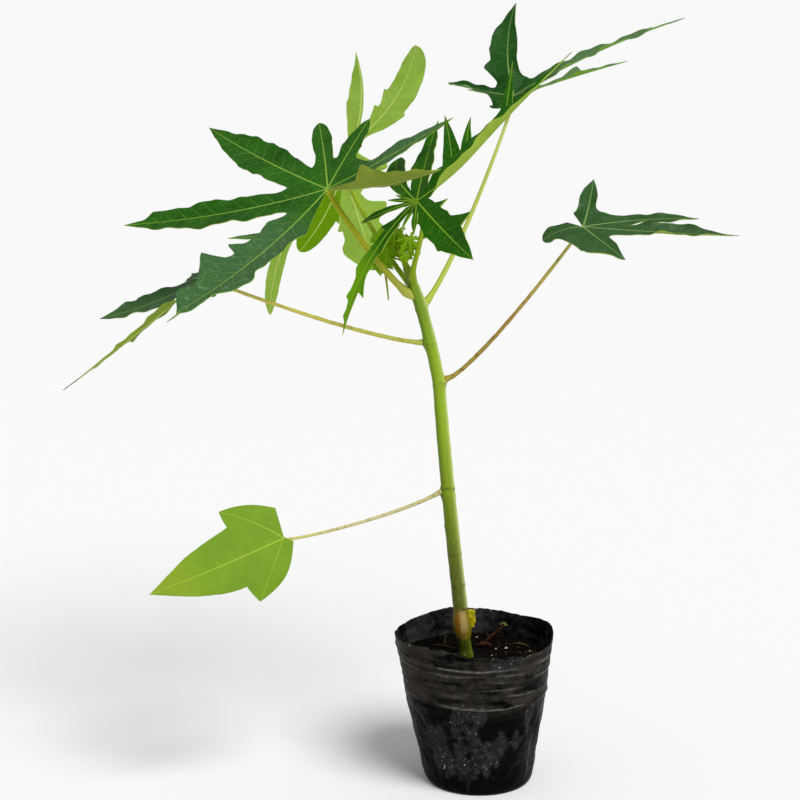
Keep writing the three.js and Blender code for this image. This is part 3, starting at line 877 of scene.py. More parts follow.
@dataclass
class SoilBed:
    """Dark potting mix with crumbs, pale grains, a curled strip of bark, twigs and leaf bits.

    Attributes:
        skirt: depth below the level, and radius as a share of the edge's, of each ring under the top.
        edge_gap: how far the soil's edge lies inside the pot's smooth wall.
        litter_radius: how far from the middle grains lie.
    """

    level: float = 73.5
    mound: float = 1.6
    mound_radius: float = 41.0
    skirt: tuple = ((14.0, 0.9), (4.0, 0.985))
    edge_gap: float = 1.0
    rings: int = 44
    sides: int = 150
    seed: int = 5
    litter_radius: float = 40.5
    litter: tuple[Litter, ...] = (
        Litter(
            "soil_crumbs", 620, 0.5, 1.7, -40.0,
            CrumbFinish(shade(4, 3, 2), shade(24, 17, 11), 240.0, 0.6, 0.9, 0.05),
        ),
        Litter(
            "soil_chips", 110, 0.4, 1.1, 4.0,
            CrumbFinish(shade(34, 25, 14), shade(92, 76, 46), 240.0, 0.6, 0.9, 0.05),
        ),
        Litter(
            "soil_grains", 26, 0.4, 0.9, -40.0,
            CrumbFinish(shade(120, 110, 84), shade(190, 180, 150), 500.0, 0.3),
        ),
    )

    @property
    def shift(self) -> float:
        """How far the leaning pot puts the middle of the soil to one side."""
        return POT.rim_shift * self.level / POT.height

    def surface(self, x: Array, y: Array) -> Array:
        """Height of the soil at places on the level."""
        away = np.hypot(x - self.shift, y) / self.mound_radius
        flat = np.stack([x, y, 0 * x], axis=-1)
        lumps = 1.0 * ripple(flat, 9.0, 61) + 0.7 * ripple(flat, 3.4, 62) + 0.35 * ripple(flat, 1.5, 63)
        return self.level - 0.2 - self.mound * away**2 + lumps * (0.35 + 0.65 * ease(away, 0.1, 0.3))

    def _height(self, x: float, y: float) -> float:
        """Height of the soil at one place."""
        return float(self.surface(np.array([x]), np.array([y]))[0])

    def dress(self) -> None:
        """Builds the soil and what lies on it."""
        self._bed()
        self._scatter()
        self._bark_strip()
        self._twigs()
        self._leaf_bits()

    def _bed(self) -> None:
        """The soil itself: a closed cake with a lumpy top."""
        turns = full_turn(self.sides)
        rings = []
        edge = float(POT.wall_radius(np.array([self.level]))[0]) - self.edge_gap
        middle = np.array([self.shift, 0, 0])
        for depth, scale in self.skirt:
            rings.append(round_places(turns, edge * scale, self.level - depth) + middle)
        for share in np.linspace(1, 0.02, self.rings):
            ring = round_places(turns, edge * share, 0.0) + middle
            ring[:, 2] = self.surface(ring[:, 0], ring[:, 1])
            rings.append(ring)
        skin = loft(np.array(rings), np.linspace(0, 1, len(rings)))
        finish = CrumbFinish(shade(3, 2, 2), shade(18, 13, 9), 420.0, 1.4, 0.9, 0.05)
        seat(skin.build("soil_bed", [finish.make("soil_bed")], ALL_SMOOTH), "soil", "soil")

    def _pebble(self, draw: np.random.Generator, middle: Array, size: float, flat: float) -> Skin:
        """An irregular grain.

        Args:
            draw: source of chance.
            middle: where it lies.
            size: its radius.
            flat: its height as a share of its width.

        Returns:
            Its skin.
        """
        golden = (1 + math.sqrt(5)) / 2
        corners = np.array(
            [(x, golden * y, 0) for y in (1, -1) for x in (-1, 1)]
            + [(0, y, golden * z) for z in (1, -1) for y in (-1, 1)]
            + [(golden * x, 0, z) for x in (1, -1) for z in (-1, 1)]
        )
        faces = [
            (0, 11, 5), (0, 5, 1), (0, 1, 7), (0, 7, 10), (0, 10, 11), (1, 5, 9), (5, 11, 4),
            (11, 10, 2), (10, 7, 6), (7, 1, 8), (3, 9, 4), (3, 4, 2), (3, 2, 6), (3, 6, 8),
            (3, 8, 9), (4, 9, 5), (2, 4, 11), (6, 2, 10), (8, 6, 7), (9, 8, 1),
        ]
        shape = corners / np.linalg.norm(corners[0]) * (1 + draw.uniform(-0.28, 0.28, (12, 1)))
        turn = np.array(Matrix.Rotation(draw.uniform(0, math.tau), 3, Vector(draw.normal(size=3))))
        shape = (shape * [1, draw.uniform(0.6, 1), draw.uniform(0.6, 1)]) @ turn.T * [1, 1, flat] * size
        return Skin(shape + middle, faces, np.zeros(len(faces), int), {"share": np.zeros(12)})

    def _scatter(self) -> None:
        """Dark crumbs all over, chips on the right and a few pale grains, partly sunk in the soil."""
        draw = np.random.default_rng(self.seed)
        for kind in self.litter:
            skins = []
            while len(skins) < kind.count:
                away = self.litter_radius * math.sqrt(draw.uniform(0.02, 0.97))
                turn = draw.uniform(0, math.tau)
                x = away * math.cos(turn) + self.shift
                if x < kind.right_of:
                    continue
                y = away * math.sin(turn)
                size = kind.least + (kind.most - kind.least) * draw.uniform() ** 2.5
                middle = np.array([x, y, self._height(x, y) + 0.3 * size])
                skins.append(self._pebble(draw, middle, size, draw.uniform(0.5, 1)))
            grains = Skin.joined(skins)
            seat(grains.build(kind.name, [kind.finish.make(kind.name)], ALL_SMOOTH), "soil")

    def _strip(self, path: Array, radius: float, flat: float, seed: int) -> Skin:
        """A rough strip along a path: thicker in the middle and flattened.

        Args:
            path: points along its middle.
            radius: its largest radius.
            flat: its thickness as a share of its width.
            seed: picks its roughness.

        Returns:
            Its skin.
        """
        steps = np.linspace(0, 1, 26)
        known = np.linspace(0, 1, len(path))
        smooth = np.stack([np.interp(steps, known, path[:, axis]) for axis in range(3)], axis=-1)
        for _ in range(3):
            smooth[1:-1] = (smooth[:-2] + 2 * smooth[1:-1] + smooth[2:]) / 4
        sides = 10
        turns = full_turn(sides)
        taper = 0.35 + 0.65 * np.sin(math.pi * np.clip(steps * 0.9 + 0.05, 0, 1))
        places = np.stack(np.meshgrid(steps * 12, turns, [0.0], indexing="ij"), axis=-1)[:, :, 0]
        rough = 1 + 0.3 * ripple(places, 1.4, seed)
        radii = radius * taper[:, None] * rough * np.hypot(np.cos(turns), flat * np.sin(turns))[None, :]
        return tube(smooth, radii, sides, steps)

    def _bark_strip(self) -> None:
        """The curled strip of bark to the right of the stem."""
        curl = np.array([
            [1.6, 14.0, 74.6], [4.4, 15.2, 76.0], [6.2, 17.8, 77.6], [10.0, 22.5, 78.8], [13.2, 28.0, 79.2],
            [14.9, 33.0, 79.6],
        ])
        foot = np.array([[-1.4, 12.2, 74.2], [1.6, 13.0, 75.2], [4.8, 13.6, 75.2], [7.4, 12.4, 74.0]])
        skin = Skin.joined([self._strip(curl, 1.1, 0.5, 71), self._strip(foot, 1.7, 0.8, 72)])
        finish = CrumbFinish(shade(26, 10, 4), shade(72, 34, 17), 380.0, 0.9, 0.8, 0.1)
        seat(skin.build("bark_strip", [finish.make("bark_strip")]), "soil")

    def _twigs(self) -> None:
        """Thin pale twigs on the soil."""
        ends = (
            ((-26.0, 16.5), (-12.5, 11.3)), ((-20.4, 17.0), (-17.8, 32.0)), ((-30.0, -6.0), (-24.0, 6.0)),
            ((8.0, -18.0), (22.0, -14.0)), ((20.0, 20.0), (29.0, 13.0)), ((-14.0, -24.0), (-4.0, -29.0)),
        )
        skins = []
        for index, (start, end) in enumerate(ends):
            steps = np.linspace(0, 1, 6)
            x = lerp(start[0], end[0], steps) + 0.6 * np.sin(steps * 5 + index)
            y = lerp(start[1], end[1], steps) + 0.6 * np.cos(steps * 4 + index)
            z = self.surface(x, y).max() + 0.2 + 0.5 * np.sin(steps * math.pi)
            skins.append(self._strip(np.stack([x, y, z], axis=-1), 0.42, 0.9, 80 + index))
        finish = CrumbFinish(shade(50, 42, 22), shade(96, 84, 50), 500.0, 0.3, 0.8, 0.05)
        seat(Skin.joined(skins).build("soil_twigs", [finish.make("soil_twigs")]), "soil")

    def _leaf_bits(self) -> None:
        """Small scraps of green and yellow leaf, on the soil or perched on the end of the bark strip."""
        scraps = (
            (
                "green_scraps", shade(62, 74, 24), shade(122, 130, 62),
                (
                    (15.5, 34.0, 80.4, 1.9), (13.2, 33.4, 80.0, 1.2), (16.6, 32.6, 79.6, 1.2),
                    (-24.0, -12.0, 0.0, 1.5),
                ),
            ),
            (
                "yellow_scraps", shade(104, 92, 14), shade(170, 154, 50),
                ((31.5, 3.0, 0.0, 1.5), (30.0, 6.3, 0.0, 1.1), (27.0, -9.0, 0.0, 1.2)),
            ),
            (
                "pale_scraps", shade(150, 144, 122), shade(206, 200, 180),
                ((15.5, 9.6, 0.0, 1.2), (9.6, 6.3, 0.0, 0.8), (29.0, 8.4, 0.0, 0.7)),
            ),
        )
        draw = np.random.default_rng(self.seed + 1)
        for name, dark, light, places in scraps:
            skins = []
            for x, y, perch, size in places:
                z = max(perch, self._height(x, y) + 0.5)
                skins.append(self._pebble(draw, np.array([x, y, z]), size, 0.35))
            finish = CrumbFinish(dark, light, 500.0, 0.3, 0.6)
            seat(Skin.joined(skins).build(name, [finish.make(name)]), "soil")


# Stem, graft tape and leaves


@dataclass
class Stem:
    """Leaning stem with leaf scars, swollen where it was grafted.

    Attributes:
        foot_depth: how far the stem goes on below the soil's level.
        node_swell: height of the swelling under each leaf stalk.
        node_ring: height of the thin ring round the stem at each leaf stalk.
        scars: height, bearing, ridge and strength of the shadow of each leaf scar.
    """

    lower: tuple = ((-7.8, -2.0, 73.5), (-13.2, -1.0, 121.0), (-20.2, 0.0, 184.0), (-23.6, 0.0, 231.0))
    upper: tuple = ((-23.6, 0.0, 231.0), (-27.0, 0.0, 251.0), (-33.5, 0.0, 277.0), (-41.5, 0.0, 296.0))
    foot_flare: float = 0.9
    flare_height: float = 4.0
    rootstock_radius: float = 3.8
    graft_radius: float = 5.2
    graft_bottom: float = 83.5
    graft_top: float = 101.3
    lower_radius: float = 4.1
    upper_radius: float = 3.2
    tip_radius: float = 2.3
    foot_depth: float = 3.0
    node_swell: float = 0.9
    node_ring: float = 0.22
    scars: tuple = (
        (133.5, 285.0, 0.36, 0.3), (115.3, 290.0, 0.24, 0.7), (149.0, 140.0, 0.36, 0.5),
        (171.5, 262.0, 0.5, 0.9), (194.0, 60.0, 0.34, 0.5), (231.6, 300.0, 0.42, 0.8),
        (254.0, 210.0, 0.3, 0.6),
    )
    sides: int = 56
    rows: int = 150

    def __post_init__(self) -> None:
        """Lays the stem's middle line."""
        shares = np.linspace(0, 1, self.rows + 1)
        self.path = np.concatenate([bezier(self.lower, shares), bezier(self.upper, shares)[1:]])

    def middle(self, height: float) -> Array:
        """Point of the middle line at a height."""
        return np.array([np.interp(height, self.path[:, 2], self.path[:, axis]) for axis in range(3)])

    def along(self, height: float) -> Array:
        """Direction of the stem at a height."""
        step = self.middle(height + 0.5) - self.middle(height - 0.5)
        return step / np.linalg.norm(step)

    def radius(self, z: Array) -> Array:
        """Plain radius.

        Args:
            z: heights.

        Returns:
            The radius at each height.
        """
        flare = np.clip(1 - (z - self.lower[0][2]) / self.flare_height, 0, 1)
        stock = self.rootstock_radius + self.foot_flare * flare
        share = np.clip((z - self.graft_bottom) / (self.graft_top - self.graft_bottom), 0, 0.86)
        graft = lerp(self.rootstock_radius, self.graft_radius, np.sin(math.pi * share))
        rise = np.clip((z - self.graft_top) / (self.upper[3][2] - self.graft_top), 0, 1)
        scion = lerp(self.lower_radius, self.upper_radius, rise)
        scion = lerp(scion, self.tip_radius, np.clip((rise - 0.9) / 0.1, 0, 1))
        return np.where(z < self.graft_bottom, stock, np.where(z < self.graft_top, graft, scion))

    def dress(self, nodes: Sequence[tuple[float, float]]) -> None:
        """Builds the stem.

        Args:
            nodes: height and bearing of each leaf stalk's foot.
        """
        turns = full_turn(self.sides)
        z = self.path[:, 2][:, None] + 0 * turns[None, :]
        spread = np.broadcast_to(turns, z.shape)
        skin_places = round_places(spread, 4.0, z)
        radii = self.radius(z) + 0.14 * ripple(skin_places, 6.0, 91)
        radii += 0.07 * ripple(skin_places * [1, 1, 0.3], 1.5, 92)
        for height, bearing in nodes:
            facing = np.clip(np.cos(spread - math.radians(bearing)), 0, 1)
            radii += self.node_swell * facing**2 * hump(z - height + 1.2, 3.2)
            radii += self.node_ring * hump(z - height + 2.6 - 1.4 * facing, 0.9)
        # Painted shade: a dark line below the ridge of each leaf scar
        dark = np.zeros_like(z)
        breaks = ease(ripple(skin_places, 2.2, 93), -0.25, 0.2)
        for height, bearing, ridge, shadow in self.scars:
            facing = np.cos(spread - math.radians(bearing))
            gap = z - height - 0.9 * facing
            shown = ease(facing, -0.5, 0.4)
            radii += ridge * shown * hump(gap, 0.8)
            dark += shadow * shown * breaks * hump(gap + 0.5, 0.5)
        # Painted shade in the corner below each stalk
        for height, bearing in nodes:
            facing = np.clip(np.cos(spread - math.radians(bearing)), 0, 1)
            dark += 0.55 * facing**4 * hump(z - height + 2.2, 1.0)
        rings = tube_rings(self.path, radii, self.sides, np.array([1.0, 0.0, 0.0]))
        rings[0, :, 2] = self.lower[0][2] - self.foot_depth
        skin = loft(rings, np.linspace(0, 1, len(rings)))
        tint = self._tint(spread, z, np.clip(dark, 0, 1)).reshape(-1, 4)
        skin.at_points["tint"] = np.concatenate([tint, tint[:1], tint[-1:]])
        seat(skin.build("stem_bark", [BarkFinish().make("stem_bark")]), "stem_bark", "stem")

    def _tint(self, turns: Array, z: Array, dark: Array) -> Array:
        """Colour of the bark at each point.

        Args:
            turns: bearing of each point round the stem.
            z: its height.
            dark: how much painted shade it has, below the ridges of the leaf scars and below the stalks.

        Returns:
            Linear colours.
        """
        def coated(start: Union[Colour, Array], *coats: tuple[Union[Colour, Array], Array]) -> Array:
            """First colour with others laid over it in turn, each by its share."""
            colour = np.broadcast_to(np.array(start), z.shape + (4,))
            for other, share in coats:
                colour = colour + (np.array(other) - colour) * share[..., None]
            return colour

        def facing(bearing: float, width: float) -> Array:
            """1 at a bearing, falling off over a width in degrees."""
            return hump(degrees_from(turns, bearing), width)

        stock = 1 - ease(z, self.graft_bottom - 1, self.graft_bottom + 3)
        low_edge = self.graft_bottom + 2.6 - 2.2 * np.cos(turns - math.radians(285))
        graft = ease(z - low_edge, -0.5, 0.5) * (1 - ease(z, self.graft_top + 0.1, self.graft_top + 0.9))
        bark = coated(
            shade(80, 86, 22),
            (shade(110, 136, 18), ease(z, 112, 180)),
            (shade(130, 162, 22), ease(z, 168, 225)),
            (shade(96, 132, 20), ease(z, 238, 280)),
            # Painted light: shade down the left side, a highlight down the front and a pale highlight down
            # the right
            (shade(84, 112, 6), facing(195, 48) * 0.5),
            (shade(150, 178, 50), facing(268, 26) * 0.3 * ease(z, 150, 200)),
            (shade(196, 210, 124), facing(350, 36) * 0.8),
            (shade(50, 56, 4), np.clip(stock + (1 - ease(z, 82, 89)) * (1 - graft), 0, 1)),
            # Painted highlight down the right edge of the rootstock
            (shade(96, 108, 20), facing(330, 26) * stock * 0.7),
        )
        rusty = ease(facing(238, 22), 0.25, 0.7) * ease(z, 86, 89) * (1 - ease(z, 96, 100))
        wound = coated(
            shade(124, 106, 30),
            (shade(136, 86, 6), rusty),
            # Painted shade down the graft's left side
            (shade(116, 96, 14), ease(facing(205, 22), 0.2, 0.8)),
            # Pale cream callus, brightest towards the light: partly its own colour, partly a painted
            # highlight
            (shade(166, 142, 84), ease(facing(281, 24), 0.25, 0.6) * ease(z, 87, 90)),
            (shade(122, 114, 10), facing(335, 28)),
            (shade(90, 62, 16), ease(z, self.graft_top - 1.6, self.graft_top) * 0.5),
        )
        cut = np.clip(hump(z - self.graft_top - 0.2, 0.5) * facing(300, 36), 0, 1)
        # On top, the dark cut at the graft's top and the painted shade below the scars and stalks
        return coated(bark, (wound, graft), (shade(24, 18, 8), cut * 0.9), (shade(50, 44, 16), dark))


@dataclass
class GraftTape:
    """Folded tab of lime yellow tape on the right of the graft."""

    width: float = 2.6
    depth: float = 4.4
    height: float = 9.4
    middle_height: float = 95.6
    sunk: float = 1.6
    sides: int = 40
    rows: int = 26

    def dress(self, stem: Stem) -> None:
        """Builds the tab against the graft.

        Args:
            stem: the stem that carries it.
        """
        def boxy(values: Array, power: float) -> Array:
            """Values from -1 to 1 pushed outward, which squares off a round."""
            return np.abs(values) ** power * np.sign(values)

        foot = self.middle_height - self.height / 2
        turns = full_turn(self.sides)
        rings = []
        for share in np.linspace(0, 1, self.rows):
            z = foot + self.height * share
            middle = stem.middle(z)
            bark = float(stem.radius(np.array([z]))[0])
            edge = middle[0] + bark - self.sunk
            opened = 0.5 + 0.5 * float(ease(np.array(share), 0.05, 0.4))
            out = middle[0] + stem.graft_radius + self.width * opened - edge
            x = boxy(np.cos(turns), 0.7) * out / 2 + out / 2
            y = boxy(np.sin(turns), 0.8) * self.depth / 2 * (0.75 + 0.25 * np.cos(turns))
            place = np.stack([x * 2, y * 2, 0 * x + z], axis=-1)
            x = x + np.clip(x / out, 0, 1) * (0.6 * ripple(place, 2.4, 101) + 0.4 * ripple(place, 1.1, 102))
            y = y + 0.3 * ripple(place, 1.8, 103) + middle[1]
            rings.append(np.stack([x + edge, y, 0 * x + z + 0.3 * ripple(place, 2.0, 104)], axis=-1))
        finish = CrumbFinish(shade(140, 134, 0), shade(206, 198, 10), 420.0, 0.35, 0.5, 0.15)
        skin = loft(np.array(rings), np.linspace(0, 1, self.rows))
        seat(skin.build("graft_tape_tab", [finish.make("graft_tape_tab")], 70.0), "tape", "graft_tape")


class Side(Enum):
    """Side of a lobe's midrib, seen from above with the tip ahead."""

    LEFT = 1
    RIGHT = -1


class Face(Enum):
    """Numbers of a blade's two finishes."""

    UPPER = 0
    UNDER = 1


@dataclass(frozen=True)
class Tooth:
    """Side tooth of a lobe.

    Attributes:
        share: place from web to tip.
        side: side of the midrib.
        length: how long it is.
        before: share of the lobe it takes before its point.
        after: share that it takes beyond its point.
        forward: how far its point reaches forward for its length.
        round: whether it is a round bump rather than a point.
    """

    share: float
    side: Side
    length: float
    before: float = 0.12
    after: float = 0.08
    forward: float = 0.6
    round: bool = False


@dataclass(frozen=True)
class Lobe:
    """One lobe of a blade.

    Attributes:
        bearing: bearing of its midrib where it leaves the hub.
        reach: length of its midrib.
        breadth: full breadth.
        rise: climb of the midrib at the hub, in degrees.
        droop: how much of that climb is lost by the tip.
        sweep: how far the midrib turns to the left by the tip.
        bend: how far it turns to the left at the hub besides, which is lost over about the first third.
        roll: turn about the midrib, left edge up.
        fold: how far both halves are folded up.
        fold_start: share from web to tip over which the fold comes in.
        fold_end: share before the tip over which it opens out again.
        widest: share from web to tip where it is broadest.
        start: how broad it starts at the web; near 0 it starts at a point.
        point: how soon it draws in to the tip.
        skew: share of the half breadth that the left half has more and the right half less.
        web: distance from the hub to its notches, where it isn't the leaf's own.
        bulge: where given, the edges run straight to the tip and bulge by these shares, left and right.
        notch: bearing and distance of the notch on its left, where it isn't worked out.
        tone: share of the leaf's second colour, partly its own tone and partly painted light.
        tone_and_light_start: share of its length where that colour begins.
        teeth: its side teeth.
        horns: slender side lobes that leave its midrib.
    """

    bearing: float
    reach: float
    breadth: float
    rise: float = 0.0
    droop: float = 0.0
    sweep: float = 0.0
    bend: float = 0.0
    roll: float = 0.0
    fold: float = 12.0
    fold_start: float = 0.3
    fold_end: float = 0.2
    # Midribs, side veins, the net between them, tone and painted light, broad clouds and fine clouds.
    widest: float = 0.38
    start: float = 0.35
    point: float = 1.15
    skew: float = 0.0
    web: Optional[float] = None
    bulge: Optional[tuple[float, float]] = None
    notch: Optional[tuple[float, float]] = None
    tone: float = 0.0
    tone_and_light_start: float = 0.0
    teeth: tuple[Tooth, ...] = ()
    horns: tuple["Horn", ...] = ()

    def frames(self, shares: Array) -> tuple[Array, Array, Array]:
        """Directions of the midrib.

        Args:
            shares: places along its length.

        Returns:
            Directions along, left of and above it at each place.
        """
        climb = np.radians(self.rise - self.droop * shares)
        bend = self.bend * np.clip(1 - shares / BEND_END, 0, 1)
        heading = np.radians(self.bearing + self.sweep * shares + bend)
        along = round_places(heading, np.cos(climb), np.sin(climb))
        level = np.stack([-np.sin(heading), np.cos(heading), 0 * heading], axis=-1)
        roll = np.radians(self.roll) * np.clip(shares / ROLL_START, 0, 1)[:, None]
        left = level * np.cos(roll) + np.cross(along, level) * np.sin(roll)
        return along, left, np.cross(along, left)

    def midrib(self, shares: Array) -> Array:
        """Points of the midrib.

        Args:
            shares: places along its length.

        Returns:
            One point a row.
        """
        pieces = 12
        steps = (np.arange(pieces) + 0.5) / pieces
        along, _, _ = self.frames(np.outer(shares, steps).ravel())
        summed = along.reshape(len(shares), pieces, 3).sum(1)
        return summed * (shares * self.reach / pieces)[:, None]

    def lance(self, shares: Array) -> Array:
        """Share of the full breadth: widest part way along, then drawn to the tip."""
        fall = (self.widest - shares) / (self.widest + self.start)
        rest = np.clip((1 - shares) / (1 - self.widest), 0, 1)
        return np.where(shares < self.widest, 1 - fall * fall, rest**self.point * (2 - rest) ** 0.8)

    def folded(self, shares: Array) -> Array:
        """Fold of both halves in radians, which starts at the web and opens out again at the tip."""
        part = np.minimum(shares / self.fold_start, (1 - shares) / self.fold_end)
        return math.radians(self.fold) * np.clip(part, 0, 1)

    def spurs(self, side: Side, shares: Array) -> tuple[Array, Array]:
        """How far the teeth of one side stand out and reach forward.

        Args:
            side: side of the midrib.
            shares: places from web to tip.

        Returns:
            Millimetres outward and millimetres forward.
        """
        outward = np.zeros_like(shares)
        forward = np.zeros_like(shares)
        for tooth in self.teeth:
            if tooth.side is side:
                away = shares - tooth.share
                width = np.where(away < 0, tooth.before, tooth.after)
                rise = np.clip(1 - np.abs(away) / width, 0, 1)
                height = tooth.length * (ease(rise, 0, 1) if tooth.round else rise**1.1)
                outward += 0.8 * height
                forward += tooth.forward * height
        return outward, forward

    def straight_edge(self, side: Side, notch: Array, shares: Array) -> Array:
        """Edge of a straight-sided lobe from its notch to its tip."""
        run = self.midrib(np.array([1.0]))[0] - notch
        bulge = self.bulge[0] if side is Side.LEFT else -self.bulge[1]
        out = np.array([-run[1], run[0], 0.0]) * bulge
        return notch + run * shares[:, None] + out * np.sin(math.pi * shares)[:, None]


@dataclass(frozen=True)
class Horn:
    """Slender side lobe with a midrib of its own.

    Attributes:
        share: place along the whole midrib where it starts.
        side: half of the lobe that it lies on, whose fold it follows.
        lobe: its shape; its bearing is counted to the left from the midrib's heading.
    """

    share: float
    side: Side
    lobe: Lobe


@dataclass(frozen=True)
class Petiole:
    """Leaf stalk: height and bearing of its foot, its climb, its radii, its handles and its knobs."""

    height: float
    bearing: float
    climb: float
    base: float
    end: float
    out: float
    inward: float
    finish: StalkFinish
    knobs: float = 0.0


@dataclass
class Sheet:
    """An open sheet of faces, before it gets thickness.

    Attributes:
        points: groups of points.
        ridge: how far the midrib stands out below, by group.
        quads: groups of faces; a repeated corner marks a triangle.
        vein: side vein phase, distance from the midrib and share along it, at each corner.
        blade: share of the way to the edge, distance from the hub and the share of tone and painted
        light, at each corner.
    """

    points: list[Array] = field(default_factory=list)
    ridge: list[Array] = field(default_factory=list)
    quads: list[Array] = field(default_factory=list)
    vein: list[Array] = field(default_factory=list)
    blade: list[Array] = field(default_factory=list)
    count: int = 0

    def add(self, points: Array, ridge: Array) -> Array:
        """Adds points and returns their numbers."""
        self.points.append(points)
        self.ridge.append(ridge)
        self.count += len(points)
        return np.arange(self.count - len(points), self.count)

    def thickened(self, thickness: float) -> Skin:
        """The sheet with thickness: two faces and a rim between them.

        Args:
            thickness: distance between the two faces.

        Returns:
            A closed skin.
        """
        points = np.concatenate(self.points)
        ridge = np.concatenate(self.ridge)
        quads = np.concatenate(self.quads)
        corner_values = {"vein": np.concatenate(self.vein), "blade": np.concatenate(self.blade)}
        normals = np.zeros_like(points)
        diagonal = points[quads[:, 2]] - points[quads[:, 0]]
        other = points[quads[:, 3]] - points[quads[:, 1]]
        turned = np.cross(diagonal, other)
        for corner in range(4):
            np.add.at(normals, quads[:, corner], turned)
        normals /= np.linalg.norm(normals, axis=1)[:, None]
        total = len(points)
        above = points + normals * (thickness / 2 - 0.25 * ridge)[:, None]
        below = points - normals * (thickness / 2 + ridge)[:, None]
        kept = quads != np.roll(quads, 1, axis=1)
        faces: list[tuple[int, ...]] = []
        finishes: list[int] = []
        order: list[Array] = []
        for index, (quad, keep) in enumerate(zip(quads.tolist(), kept.tolist())):
            corners = [corner for corner in range(4) if keep[corner]]
            faces.append(tuple(quad[corner] for corner in corners))
            order.append(np.array(corners) + 4 * index)
            finishes.append(Face.UPPER.value)
        for face, corners in zip(list(faces), list(order)):
            faces.append(tuple(corner + total for corner in reversed(face)))
            order.append(corners[::-1])
            finishes.append(Face.UNDER.value)
        steps = np.concatenate([np.stack([quads[:, c], quads[:, (c + 1) % 4]], axis=-1) for c in range(4)])
        starts = 4 * np.arange(len(quads))
        places = np.concatenate([np.stack([starts + c, starts + (c + 1) % 4], axis=-1) for c in range(4)])
        real = steps[:, 0] != steps[:, 1]
        steps, places = steps[real], places[real]
        rim = ~np.isin(steps[:, 0] * total + steps[:, 1], steps[:, 1] * total + steps[:, 0])
        for (start, end), (first, second) in zip(steps[rim].tolist(), places[rim].tolist()):
            faces.append((start, start + total, end + total, end))
            order.append(np.array([first, first, second, second]))
            finishes.append(Face.UNDER.value)
        picked = np.concatenate(order)
        at_corners = {key: values.reshape(-1, 3)[picked] for key, values in corner_values.items()}
        return Skin(np.concatenate([above, below]), faces, np.array(finishes), {}, at_corners)


